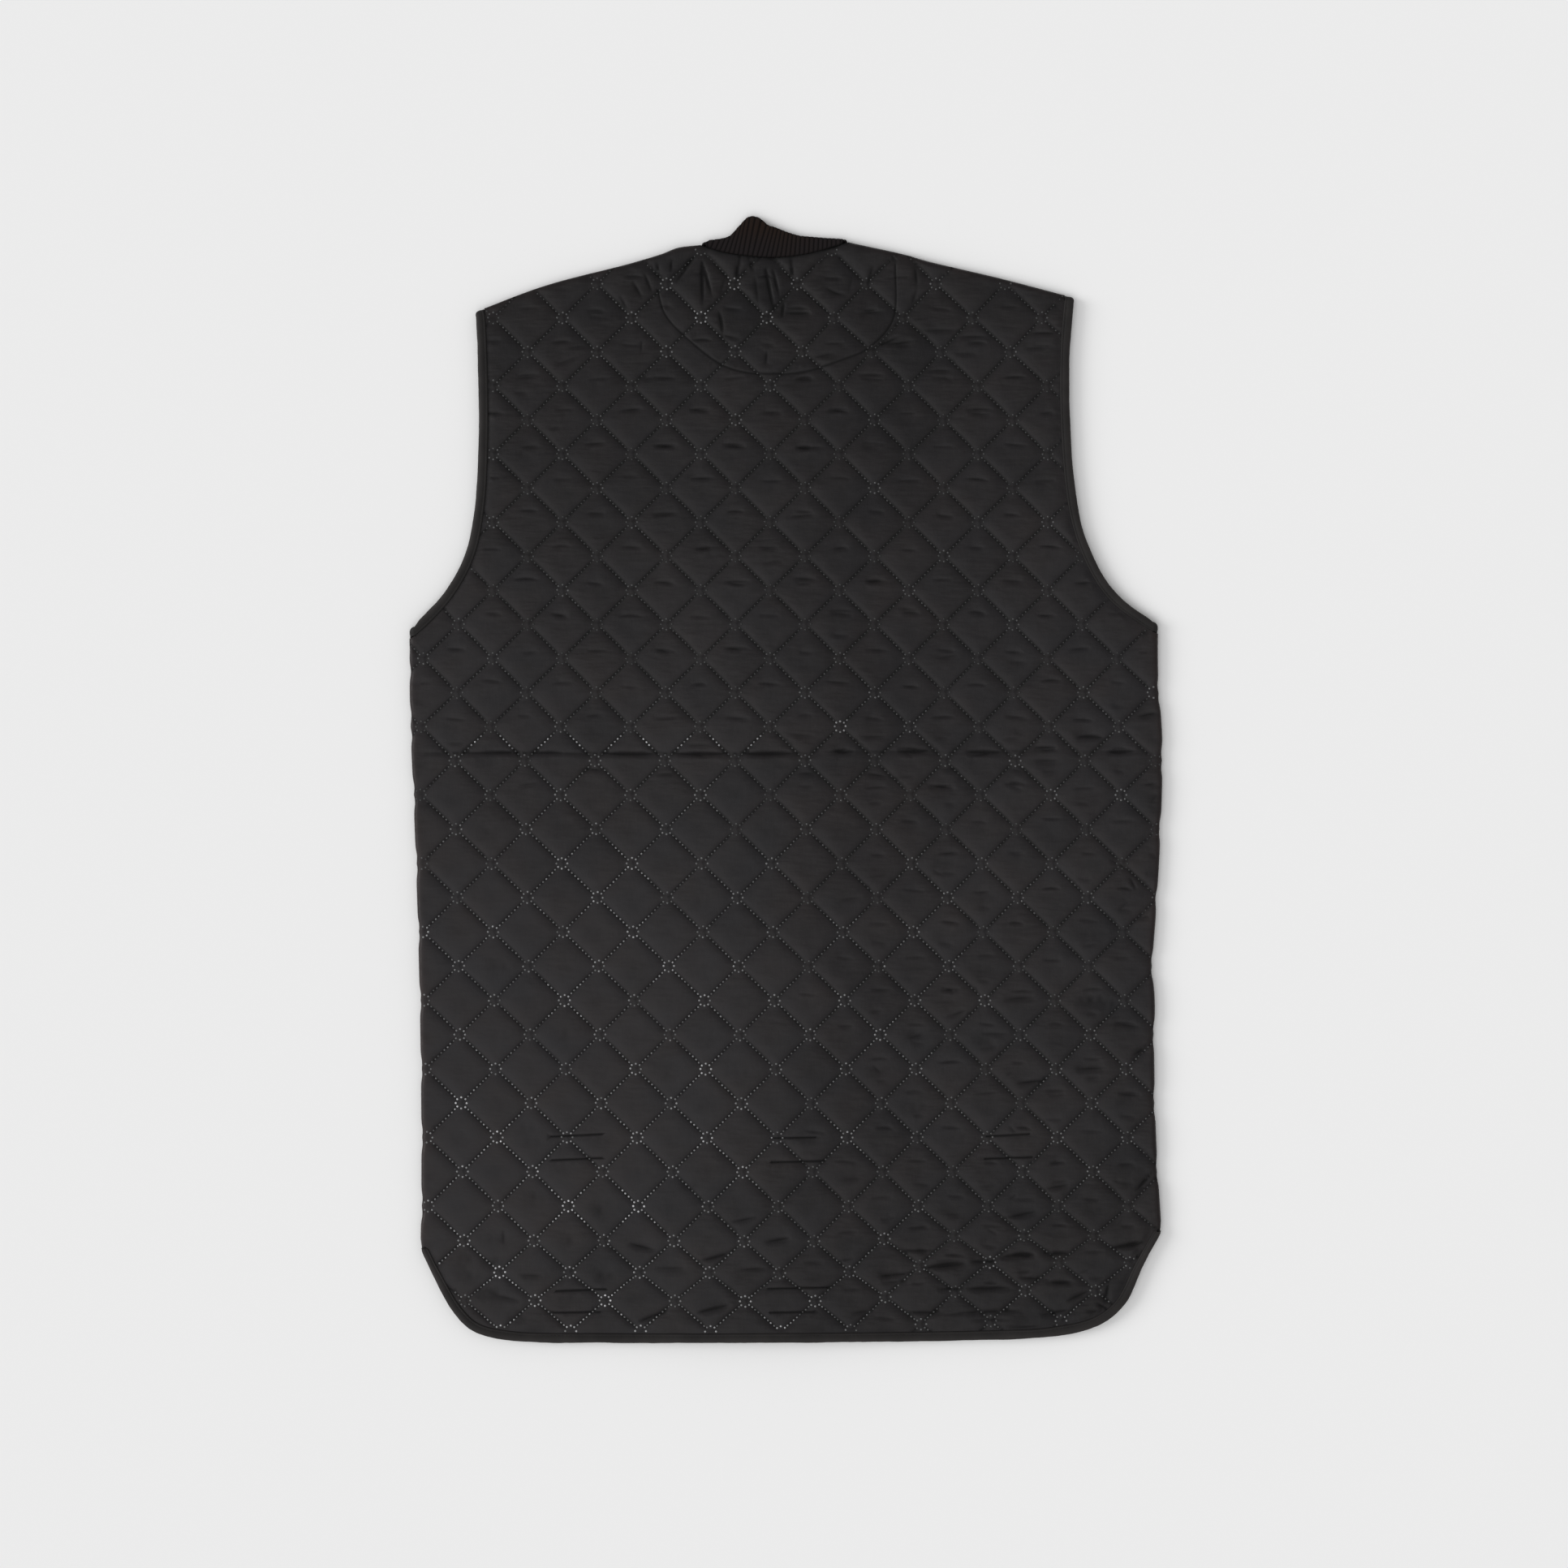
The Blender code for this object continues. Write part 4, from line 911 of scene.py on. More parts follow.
def face_boundary(triangles):
    """Edges that only one triangle has, in that triangle's direction."""
    edges = np.vstack((triangles[:, :2], triangles[:, 1:], triangles[:, ::2][:, ::-1]))
    keys = edges.min(1).astype(np.int64) * (edges.max() + 1) + edges.max(1)
    _, first, count = np.unique(keys, return_index=True, return_counts=True)
    return edges[first[count == 1]]


def panel_shell(cloth, outer_rows):
    """The closed cloth: fine outside, plainer inside, joined round its edge."""
    outer, outer_faces = cloth.face(outer_rows, EDGE_ROWS, True)
    inner, inner_faces = cloth.face(COARSE_ROWS, INNER_EDGE_ROWS, False)
    count = len(outer)
    if cloth.side > 0:
        inner_faces = inner_faces[:, ::-1]
    else:
        outer_faces = outer_faces[:, ::-1]
    rim = face_boundary(outer_faces)
    keys = {tuple(np.round(v[:2], 3)): count + k for k, v in enumerate(inner)}
    across = [keys[tuple(np.round(outer[a][:2], 3))] for a, _ in rim]
    onward = [keys[tuple(np.round(outer[b][:2], 3))] for _, b in rim]
    walls = [(b, a, c, d) for (a, b), c, d in zip(rim.tolist(), across, onward)]
    faces = outer_faces.tolist() + (inner_faces + count).tolist() + walls
    return np.vstack((outer, inner)), faces


def add_mesh(name, vertices, faces, finish):
    mesh = bpy.data.meshes.new(name)
    mesh.from_pydata((np.asarray(vertices) * MM).tolist(), [], faces)
    mesh.polygons.foreach_set("use_smooth", [True] * len(mesh.polygons))
    mesh.materials.append(finish)
    mesh.update()
    piece = bpy.data.objects.new(name, mesh)
    bpy.context.scene.collection.objects.link(piece)
    return piece


def add_values(piece, **values):
    """Numbers at each vertex, for the material."""
    for name, value in values.items():
        layer = piece.data.attributes.new(name, "FLOAT", "POINT")
        layer.data.foreach_set("value", np.asarray(value, np.float32))


def place_piece(piece, slot, *nodes):
    """Put a piece on the one body, in place of the solids that it stands for."""
    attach(piece, "root")
    if nodes:
        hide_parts(*nodes)
    return piece


# ---------------------------------------------------------------- materials

class Finish:
    """A material, and the nodes that vary its colour and surface."""

    def __init__(self, name, colour, roughness, **inputs):
        self.made = bpy.data.materials.new(name)
        self.made.use_nodes = True
        self.tree = self.made.node_tree
        self.surface = self.tree.nodes["Principled BSDF"]
        self.surface.inputs["Base Color"].default_value = (*colour, 1.0)
        self.surface.inputs["Roughness"].default_value = roughness
        for key, value in inputs.items():
            self.surface.inputs[key.replace("_", " ")].default_value = value

    def new(self, kind):
        return self.tree.nodes.new("ShaderNode" + kind)

    def fed(self, node, inputs, output):
        """A node's output, each input having a value or another node's output."""
        for key, value in inputs.items():
            if isinstance(value, bpy.types.NodeSocket):
                self.tree.links.new(value, node.inputs[key])
            else:
                node.inputs[key].default_value = value
        return node.outputs[output]

    def noise(self, *scale, detail=2.0):
        """Noise in the object's own space, drawn out by a scale for each axis."""
        coords = self.new("TexCoord").outputs["Object"]
        at = self.fed(self.new("Mapping"), {"Vector": coords, "Scale": scale}, "Vector")
        inputs = {"Vector": at, "Scale": 1.0, "Detail": detail}
        return self.fed(self.new("TexNoise"), inputs, "Fac")

    def mapped(self, value, low, high, start=0.3, end=0.7):
        return self.fed(self.new("MapRange"), {
            "Value": value, "From Min": start, "From Max": end,
            "To Min": low, "To Max": high,
        }, "Result")

    def combined(self, operation, a, b):
        node = self.new("Math")
        node.operation = operation
        return self.fed(node, {0: a, 1: b}, "Value")

    def blended(self, factor, low, high, blend="MIX"):
        """A colour between two colours, by a factor."""
        node = self.new("Mix")
        node.data_type, node.blend_type = "RGBA", blend
        return self.fed(node, {"Factor": factor, 6: low, 7: high}, 2)

    def shaded(self, colour, factor, *shade):
        """The colour, multiplied by a shade as far as the factor says."""
        return self.blended(factor, colour, (*shade, 1.0), "MULTIPLY")

    def bumped(self, height, distance_mm, **normal):
        return self.fed(self.new("Bump"), {
            "Height": height, "Strength": 1.0, "Distance": distance_mm * MM, **normal
        }, "Normal")

    def attribute(self, name):
        node = self.new("Attribute")
        node.attribute_name = name
        return node.outputs["Fac"]

    def set(self, key, output):
        self.tree.links.new(output, self.surface.inputs[key])


# the cloth's colour runs from dark to light with its painted sheen and random tone
CLOTH_DARK = (0.0044, 0.0036, 0.0040, 1.0)
CLOTH_LIGHT = (0.0170, 0.0150, 0.0160, 1.0)
WARMER = (1.0, 0.93, 0.88)
COOLER = (0.90, 0.95, 1.0)
FOLDED_EDGE = (1.5, 1.18, 1.05)     # a browner, paler painted highlight along the folded edges
IN_SEAM_SHADE = 0.18          # what is left of the colour in the painted shade along a weld line
IN_CREASE = 0.28        # and in the painted shade deep in a crease
WEAVE_BUMP = 0.03
MOTTLE_BUMP = 0.16
WRINKLE_BUMP = 0.7
TAPE_DARK = (0.0066, 0.0056, 0.0054, 1.0)
TAPE_LIGHT = (0.0118, 0.0102, 0.0098, 1.0)
# how much paler the tape is in its painted highlight and near its open ends
TAPE_PALER = 2.1
# a dot's colour runs from dull to its painted glint
DOT_DULL = (0.008, 0.008, 0.008, 1.0)
DOT_GLINT = (0.55, 0.55, 0.56, 1.0)
RIB_GREY = (0.0125, 0.0098, 0.0102, 1.0)
RIB_BROWN = (0.0155, 0.0092, 0.0066, 1.0)
# painted shade in the rib's grooves and by its seam
RIB_VALLEY = (0.12, 0.1, 0.1)


def quilt_material():
    """Matt-satin woven polyester, near black, with a fine weave and small wrinkles; its
    colour carries painted sheen, painted shade and a painted highlight.
    """
    f = Finish("black_quilt_cloth", (0.009, 0.008, 0.0086), 0.5, Specular_IOR_Level=0.2)
    weft = f.noise(110.0, 1500.0, 110.0, detail=3.0)
    warp = f.noise(1500.0, 110.0, 110.0, detail=3.0)
    mottle = f.noise(150.0, 190.0, 150.0, detail=3.0)
    cloud = f.noise(18.0, 24.0, 18.0)
    patches = f.noise(31.0, 37.0, 29.0, detail=1.0)
    wrinkled = f.noise(55.0, 210.0, 60.0, detail=1.5)
    # painted sheen, with random tone from the noises added below
    sheen_and_tone = f.attribute("sheen_and_tone")
    for noise, share in (
        (weft, 0.14), (warp, 0.14), (mottle, 0.14), (cloud, 0.20), (wrinkled, 0.05)
    ):
        sheen_and_tone = f.combined("ADD", sheen_and_tone, f.mapped(noise, -share / 3, share))
    colour = f.blended(sheen_and_tone, CLOTH_DARK, CLOTH_LIGHT)
    colour = f.shaded(colour, f.mapped(patches, 0.0, 1.0), *WARMER)
    colour = f.shaded(colour, f.mapped(cloud, 1.0, 0.0), *COOLER)
    # painted highlight near the folded edges
    colour = f.shaded(colour, f.attribute("rim"), *FOLDED_EDGE)
    # seam and crease hold painted shade for the cloth's colour
    seam, crease = f.attribute("seam"), f.attribute("crease")
    for shade, left in ((seam, IN_SEAM_SHADE), (crease, IN_CREASE)):
        colour = f.shaded(colour, shade, left, left, left)
    f.set("Base Color", colour)
    rough = f.mapped(weft, 0.42, 0.52)
    rough = f.combined("ADD", rough, f.mapped(seam, 0.0, 0.3, 0.0, 1.0))
    rough = f.combined("ADD", rough, f.mapped(crease, 0.0, 0.4, 0.0, 1.0))
    f.set("Roughness", rough)
    uneven = f.combined("MULTIPLY", wrinkled, f.mapped(patches, 0.15, 1.0))
    # wrinkle bumps are flatter where the painted sheen is strong
    smoother = f.mapped(f.attribute("sheen_and_tone"), 1.0, 0.35, 0.3, 1.0)
    normal = f.bumped(f.combined("MULTIPLY", uneven, smoother), WRINKLE_BUMP)
    normal = f.bumped(mottle, MOTTLE_BUMP, Normal=normal)
    for thread in (weft, warp):
        normal = f.bumped(thread, WEAVE_BUMP, Normal=normal)
    f.set("Normal", normal)
    return f.made


def tape_material():
    """Plain black binding tape, with a painted highlight along its outer bend and paler
    near the ends of an open binding.
    """
    f = Finish("black_binding_tape", (0.008, 0.0066, 0.0062), 0.65,
               Specular_IOR_Level=0.24)
    ribs = f.noise(500.0, 500.0, 500.0)
    colour = f.mapped(f.noise(60.0, 60.0, 60.0), 0.0, 1.0)
    colour = f.blended(colour, TAPE_DARK, TAPE_LIGHT)
    worn = f.attribute("worn")
    f.set("Base Color", f.shaded(colour, worn, TAPE_PALER, TAPE_PALER, TAPE_PALER))
    f.set("Normal", f.bumped(ribs, 0.12))
    return f.made


def weld_material():
    """The welded dots, pressed smooth; their brightness is a painted glint."""
    f = Finish("weld_dots", (0.05, 0.05, 0.05), 0.4, Specular_IOR_Level=0.3)
    f.set("Base Color", f.blended(f.attribute("shine"), DOT_DULL, DOT_GLINT))
    return f.made


def rib_material():
    """Brown-black rib knit, with painted shade in its grooves and by its seam."""
    f = Finish("brown_black_rib", (0.006, 0.004, 0.0036), 0.9, Specular_IOR_Level=0.12)
    fuzz = f.noise(900.0, 900.0, 900.0)
    brown = f.mapped(f.noise(55.0, 40.0, 55.0), -0.25, 0.25)
    brown = f.combined("ADD", brown, f.attribute("folded"))
    colour = f.blended(brown, RIB_GREY, RIB_BROWN)
    f.set("Base Color", f.shaded(colour, f.attribute("valley"), *RIB_VALLEY))
    f.set("Normal", f.bumped(fuzz, 0.25))
    return f.made


def metal_material():
    """Dark gunmetal, turned."""
    f = Finish("dark_gunmetal", (0.060, 0.060, 0.062), 0.34, Metallic=0.9)
    grain = f.noise(1500.0, 1500.0, 300.0)
    f.set("Roughness", f.mapped(grain, 0.26, 0.44))
    f.set("Normal", f.bumped(grain, 0.02))
    return f.made


# ---------------------------------------------------------------- panels

def back_outline():
    left = HALF_LEFT.edge(True)
    right = HALF_RIGHT.edge(True)
    hem = HEM_LINE + EDGE_IN_BINDING * inward_of(HEM_LINE, -1)
    hem = resample(hem, OUTLINE_STEP)
    neck = resample(NECK_LINE, OUTLINE_STEP)
    return tidy_outline(np.vstack((left, neck, right[::-1], hem[::-1])))


def front_outline(half, direction):
    edge = front_edge_line(half, direction)
    edge = edge + EDGE_IN_BINDING * inward_of(edge, -direction)
    neck = neckline(half, direction)[:-1]
    neck = neck[(neck[:, 0] - edge[-1][0]) * direction < -1.0]
    neck = resample(neck, OUTLINE_STEP)[1:]
    return tidy_outline(np.vstack((half.edge(False), neck, edge[::-1])))


def tidy_outline(rows, closest=0.5):
    """The outline without points that all but meet the one before."""
    kept = [rows[0]]
    for row in rows[1:]:
        if np.linalg.norm(row - kept[-1]) > closest:
            kept.append(row)
    if np.linalg.norm(kept[0] - kept[-1]) < closest:
        kept.pop()
    return np.round(np.array(kept), 3)


def back_cloth():
    halves = (HALF_LEFT, HALF_RIGHT)
    return Cloth(
        1, back_base, back_outline(),
        [line for half in halves for line in (half.side, half.shoulder)],
        [HALF_LEFT.armhole, HALF_RIGHT.armhole, HEM_LINE],
        NECK_LINE, (0.0, 0.0), BACK_CREASES, [HALF_MOON_LINE] + DASH_LINES, 5,
    )


def front_cloth(half, direction, base, shift, seed):
    return Cloth(
        -1, base, front_outline(half, direction),
        [half.side, half.shoulder],
        [half.front_armhole, front_edge_line(half, direction)],
        neckline(half, direction), shift, (), [], seed,
    )


SEAM_SHADE = 0.95       # painted shade darkens the cloth this near a weld line
RING_SHADE = 0.25       # what is left of that inside the ring round a crossing
NECK_SHADE = 1.6        # and painted shadow darkens it this near the neck seam too
# how strong that painted shadow is
NECK_DARK = 1.2
RIM_HIGHLIGHT = 2.5         # and a painted highlight this near a folded edge
OVERHANG_OFF = 1.15     # the painted shadow's darkest place below a rising weld line
OVERHANG_HALF = 0.85
SHARP_SHADE = 1.3       # how dark the painted shade in the creases is, in the sharp ones and the wide ones
WIDE_SHADE = 0.55

# Painted sheen of the cloth: lighter at the lower left, darker towards the neck
PAINTED_SHEEN_COLUMNS = (-245.0, -142.0, -39.0, 65.0, 168.0, 240.0)
SheenRow = namedtuple(
    "SheenRow", "height far_left left middle_left middle_right right far_right"
)
PAINTED_SHEEN = tuple(SheenRow(*row) for row in (      # painted sheen: how light the cloth is, by place
    (-408.0, 0.55, 0.40, 0.25, 0.20, 0.10, 0.10),
    (-360.0, 0.70, 0.47, 0.33, 0.25, 0.10, 0.12),
    (-312.0, 0.97, 0.71, 0.44, 0.30, 0.30, 0.20),
    (-264.0, 0.97, 0.74, 0.59, 0.36, 0.32, 0.32),
    (-168.0, 0.83, 0.71, 0.59, 0.41, 0.40, 0.42),
    (-72.0, 0.77, 0.65, 0.56, 0.42, 0.47, 0.48),
    (-24.0, 0.50, 0.47, 0.41, 0.32, 0.38, 0.44),
    (72.0, 0.55, 0.36, 0.33, 0.28, 0.38, 0.50),
    (168.0, 0.32, 0.22, 0.22, 0.25, 0.32, 0.45),
    (264.0, 0.16, 0.08, 0.08, 0.10, 0.22, 0.30),
    (360.0, 0.05, 0.05, 0.02, 0.06, 0.12, 0.16),
))


def over_table(table, columns, x, y):
    """The values of a table at each place, blended between its rows and columns."""
    rows = np.array([np.interp(x, columns, row[1:]) for row in table])
    place = np.interp(y, [row.height for row in table], range(len(table)))
    low = np.minimum(place.astype(int), len(table) - 2)
    share, each = place - low, np.arange(len(x))
    return rows[low, each] * (1.0 - share) + rows[low + 1, each] * share


def overhang_shade(cloth, plan):
    """Painted shadow on the dark side of the weld lines that rise to the right, strongest
    high up.
    """
    x, y = plan.T
    p, q = cloth.quilting(plan)
    line = np.round(q)
    band = bell((q - line) * DIAMOND - OVERHANG_OFF, OVERHANG_HALF)
    uneven = 0.6 + 0.4 * np.sin(2.1 * p + 1.9 * line) * np.sin(0.9 * p - 2.3 * line)
    strength = 0.30 + 0.30 * ease(y, -40.0, 160.0) + 0.5 * cloth.gather(x, y)
    return band * uneven * strength * out_of_ring(p, q)


def cloth_values(cloth, plan):
    """The numbers at each vertex of a panel that its material reads: painted shade,
    painted sheen and a painted highlight.
    """
    p, q = cloth.quilting(plan)
    # painted shade along the weld lines and the stitched lines
    seam = bell(from_line(p, q), SEAM_SHADE)
    seam *= RING_SHADE + (1.0 - RING_SHADE) * out_of_ring(p, q)
    seam = np.maximum(seam, overhang_shade(cloth, plan))
    # painted shade in the creases and in the short pressed lines
    deep = SHARP_SHADE * over_creases(*plan.T, sharp_ones(cloth.creases), dark_line)
    deep += WIDE_SHADE * over_creases(*plan.T, wide_ones(cloth.creases), soft_shade)
    for line in cloth.stitched:
        pressed = bell(distance(line, plan), STITCHED_HALF)
        seam = np.maximum(seam, pressed)
        if line is not HALF_MOON_LINE:
            deep = np.maximum(deep, DASH_SHADE * pressed)
    # painted shadow by the neck seam, where the collar meets the cloth
    at_neck = NECK_DARK * bell(distance(cloth.neck, plan), NECK_SHADE)
    return {
        "seam": np.clip(np.maximum(seam, at_neck), 0.0, 1.0),
        "crease": np.clip(deep, 0.0, 1.0),
        "sheen_and_tone": over_table(PAINTED_SHEEN, PAINTED_SHEEN_COLUMNS, *plan.T),
        "rim": np.exp(-cloth.nearest(plan)[0] / RIM_HIGHLIGHT),
    }


# ---------------------------------------------------------------- weld dots

DOT = 0.82              # radius of a weld dot
DOT_HIGH = 0.5
DOT_SIDES = 6
DOT_STRAY = 0.12        # how far a dot may be off its place
DOT_FIRST = 7.0         # along a weld line, from the crossing to the first dot
DOT_PITCH = 3.2
DOTS_ALONG = 8
DOTS_ROUND = 8          # in the ring round a crossing
DOT_CLEAR = 1.2         # from a fold or a binding
DOT_NECK_CLEAR = 2.0


def dot_places(cloth):
    """Where the weld dots of a panel are."""
    lines = np.arange(-26, 26)
    p, q = [a.ravel() for a in np.meshgrid(lines, lines)]
    near = on_quilt(p, q, beyond=1)
    p, q = p[near].astype(float), q[near].astype(float)
    places = []
    for k in range(DOTS_ALONG):
        share = (DOT_FIRST + k * DOT_PITCH) / DIAMOND
        places.append(np.column_stack(quilt_place(p + share, q)))
        places.append(np.column_stack(quilt_place(p, q + share)))
    middle = np.column_stack(quilt_place(p, q))
    for k in range(DOTS_ROUND):
        turn = 2 * math.pi * k / DOTS_ROUND
        places.append(middle + RING * np.array((math.cos(turn), math.sin(turn))))
    places = np.vstack(places) + cloth.shift
    chance = np.random.default_rng(cloth.seed)
    places += chance.normal(0.0, DOT_STRAY, places.shape)
    places = places[inside(cloth.outline, places)]
    fold, bound, neck = cloth.nearest(places)
    return places[
        (fold > DOT_CLEAR) & (bound > BIND_WIDTH + DOT_CLEAR) & (neck > DOT_NECK_CLEAR)
    ]


def dome(sides, rings):
    """Points and faces of a low dome of radius 1 and height 1."""
    points = []
    for radius, height in rings:
        turn = 2 * np.pi * np.arange(sides) / sides
        points.append(np.column_stack((
            radius * np.cos(turn), radius * np.sin(turn), np.full(sides, height)
        )))
    points = np.vstack(points + [np.array([(0.0, 0.0, 1.0)])])
    faces = []
    for ring in range(len(rings) - 1):
        for k in range(sides):
            n = (k + 1) % sides
            a, b = ring * sides, (ring + 1) * sides
            faces += [(a + k, a + n, b + n), (a + k, b + n, b + k)]
    last = (len(rings) - 1) * sides
    faces += [(last + k, last + (k + 1) % sides, len(points) - 1) for k in range(sides)]
    return points, np.array(faces)


def copies(points, faces, places):
    """One mesh with a copy of a form at each place."""
    count = len(points)
    vertices = (places[:, None] + points[None]).reshape(-1, 3)
    all_faces = faces[None] + count * np.arange(len(places))[:, None, None]
    return vertices, all_faces.reshape(-1, faces.shape[1])


DOT_COLUMNS = (-240.0, -130.0, 0.0, 120.0, 240.0)
DotLight = namedtuple("DotLight", "height far_left left middle right far_right")
DOT_LIGHT = tuple(DotLight(*row) for row in (    # painted glint: how brightly dots show, by place
    (-400.0, 0.32, 0.40, 0.26, 0.14, 0.14),
    (-324.0, 0.40, 0.40, 0.17, 0.07, 0.06),
    (-252.0, 0.36, 0.36, 0.20, 0.12, 0.09),
    (-180.0, 0.14, 0.28, 0.18, 0.12, 0.08),
    (-108.0, 0.24, 0.30, 0.13, 0.09, 0.05),
    (-36.0, 0.10, 0.18, 0.08, 0.06, 0.04),
    (36.0, 0.07, 0.10, 0.08, 0.06, 0.06),
    (110.0, 0.06, 0.05, 0.04, 0.05, 0.04),
    (250.0, 0.07, 0.055, 0.045, 0.045, 0.045),
    (380.0, 0.09, 0.11, 0.08, 0.05, 0.04),
))


DOT_UNEVEN = (0.45, 1.4)         # each dot shows its own way, between these
RING_SHINE = 1.4        # the dots of a ring get more painted glint than those along a line
RUN_HEIGHT = 28.0       # a run of dots with painted glint above the fold across the waist
RUN_HALF = 4.5
RUN_ACROSS = (-245.0, -18.0)
# crossings whose dots get extra painted glint
BrightRing = namedtuple("BrightRing", "across height extra")
BRIGHT_RINGS = tuple(BrightRing(*row) for row in (
    (-87, 368, 0.12), (-38, 367, 0.22), (-63, 343, 0.28), (-14, 340, 0.16),
    (41, 39, 0.35), (171, 12, 0.14), (198, -8, 0.12), (249, -12, 0.16),
    (273, 66, 0.18), (-242, -240, 0.30), (-59, -216, 0.25), (-182, -386, 0.20),
    (-131, -386, 0.20), (-29, -386, 0.22), (22, -386, 0.14), (39, -162, 0.20),
    (79, -138, 0.16), (148, -165, 0.14),
))


def dot_shine(x, y, seed):
    """The painted glint of each dot: the rings most, and each dot its own way."""
    chance = np.random.default_rng(seed)
    shine = over_table(DOT_LIGHT, DOT_COLUMNS, x, y)
    p, q = quilting_at(x, y)
    ring = from_crossing(p, q) < RING * 1.3
    rising = off_lines(p, q)[1] < RING / 3
    upper = ease(y, 20.0, 160.0)
    # some crossings get more painted glint than others, with the dots near them
    lucky = chance.uniform(0.0, 1.0, (64, 64))
    cluster = 0.5 + 1.0 * lucky[
        np.round(p).astype(int) % 64, np.round(q).astype(int) % 64
    ] ** 2
    # dots on rising lines get less painted glint high up
    line = np.where(rising, 0.85 - 0.45 * upper, 0.9 - 0.1 * upper)
    shine = shine * np.where(ring, RING_SHINE, line) * cluster
    shine = shine * chance.uniform(*DOT_UNEVEN, len(x))
    for bright in BRIGHT_RINGS:
        away = np.hypot(x - bright.across, y - bright.height)
        shine += bright.extra * (away < RING * 1.6) * chance.uniform(0.5, 1.2, len(x))
    run = np.exp(-((y - RUN_HEIGHT) / RUN_HALF) ** 4)
    run = run * (x < RUN_ACROSS[1]) * (x > RUN_ACROSS[0])
    return np.clip(shine + run * chance.uniform(0.1, 0.7, len(x)), 0.0, 1.0)


def add_dots(name, cloth, seed, finish):
    plan = dot_places(cloth)
    heights = cloth.heights(plan, True)
    rings = ((1.0, 0.0), (0.72, 0.7)) if cloth.side > 0 else ((1.0, 0.0),)
    form, faces = dome(DOT_SIDES, rings)
    form = form * (DOT, DOT, DOT_HIGH * cloth.side)
    if cloth.side < 0:
        faces = faces[:, ::-1]
    vertices, all_faces = copies(form, faces, np.column_stack((plan, heights)))
    piece = add_mesh(name, vertices, all_faces.tolist(), finish)
    add_values(piece, shine=np.repeat(dot_shine(*plan.T, seed), len(form)))
    return piece


# ---------------------------------------------------------------- bindings

# Section of a binding: how far in from its edge, and how far from its middle plane
BIND_OUTER = (
    (7.0, 1.02), (6.7, 1.40), (6.1, 1.62), (5.6, 1.58), (5.3, 1.46), (5.0, 1.58),
    (4.3, 1.80), (3.2, 1.90), (2.1, 1.86), (1.2, 1.62), (0.5, 1.18), (0.12, 0.62),
    (0.0, 0.0),
)
BIND_STITCH = 5.3       # a row of stitches this far in from the edge
STITCH_PITCH = 2.9
STITCH_LONG = 2.1
STITCH_THICK = 0.22
STITCH_HIGH = 1.42      # its middle, from the binding's middle plane
BIND_ROUND = 6.0        # an open binding thins over this much of its ends
BIND_SHORT = 0.9        # and its edge is drawn in by this much there
BIND_TUCK = 2.6         # and its mouth by this much
BIND_NARROW = 1.6       # it is narrower by this much near them
NARROW_FADE = (4.0, 60.0)        # and comes to its whole width between these distances
BIND_MOUTH = BOUND_CLOTH / 2 + GAP
SHUT = BIND_WIDTH - 0.4
SWELL = 0.025           # how unevenly thick the tape is
STRAY = 0.10            # and how uneven its edge

BEND_HIGHLIGHT = 2.2              # a painted highlight lies over this much of the tape's outer bend
PALE_ENDS = 0.35         # and the tape is paler near the ends of an open binding

BIND_STEP = 2.0         # between the stations of a binding
TURN_STEPS = 18         # round a folded edge
UP = np.array((0.0, 0.0, 1.0))

# A station of a binding: its edge, the ways to the cloth and out of its upper face,
# and how far in the slot for the cloth begins
Bound = namedtuple("Bound", "at inward normal slot")


def binding_profile(slot):
    """The closed section round the U of a binding."""
    lower = [(a, -c) for a, c in BIND_OUTER[-2::-1]]
    return list(BIND_OUTER) + lower + [
        (BIND_WIDTH, -BIND_MOUTH), (slot, -BIND_MOUTH),
        (slot, BIND_MOUTH), (BIND_WIDTH, BIND_MOUTH),
    ]


def lay(line, side, base):
    """Stations of a binding that lies on its layer."""
    line = resample(line, BIND_STEP)
    inward = inward_of(line, side)
    heights = base(*line.T) + BIND_HIGH / 2
    return [
        Bound(np.append(at, high), np.append(into, 0.0), UP, BIND_WALL)
        for at, high, into in zip(line, heights, inward)
    ]


def turn_round(corner, from_top):
    """Stations of a binding round a folded edge, between back and front."""
    out = np.append(-corner.inward, 0.0)
    axis = np.append(corner.axis, 0.0)
    centre = np.append(corner.at + TURN * corner.inward, TURN)
    places = []
    for k in range(TURN_STEPS + 1):
        angle = math.pi * k / TURN_STEPS
        angle = angle if from_top else math.pi - angle
        normal = math.cos(angle) * UP + math.sin(angle) * out
        at = centre + LAYER / 2 * normal + corner.slide(abs(math.cos(angle))) * axis
        places.append(Bound(at, axis, normal, SHUT))
    return places


def layer_base(x, y):
    return np.full_like(x, LAYER)


def armhole_route(half):
    side = half.interior
    back = half.armhole_inside(True)
    front = half.armhole_inside(False)
    route = lay(back, side, layer_base)
    route += turn_round(half.tip, True)
    lower = lay(front, side, flat_base)[::-1]
    route += [Bound(s.at, s.inward, -s.normal, s.slot) for s in lower]
    return route + turn_round(half.underarm, False)


def edge_route(half, direction, base):
    line = front_edge_line(half, direction)
    line = line[line[:, 1] < line[-1][1] - GAP]
    return lay(line, -direction, base)


def swept(sections, closed):
    """Faces between rings of points, closed on themselves or capped."""
    count = len(sections[0])
    rings = len(sections)
    faces = []
    for a in range(rings if closed else rings - 1):
        b = (a + 1) % rings
        for k in range(count):
            n = (k + 1) % count
            faces.append((a * count + k, a * count + n, b * count + n, b * count + k))
    if not closed:
        faces.append(tuple(reversed(range(count))))
        faces.append(tuple(range((rings - 1) * count, rings * count)))
    return np.vstack(sections), faces


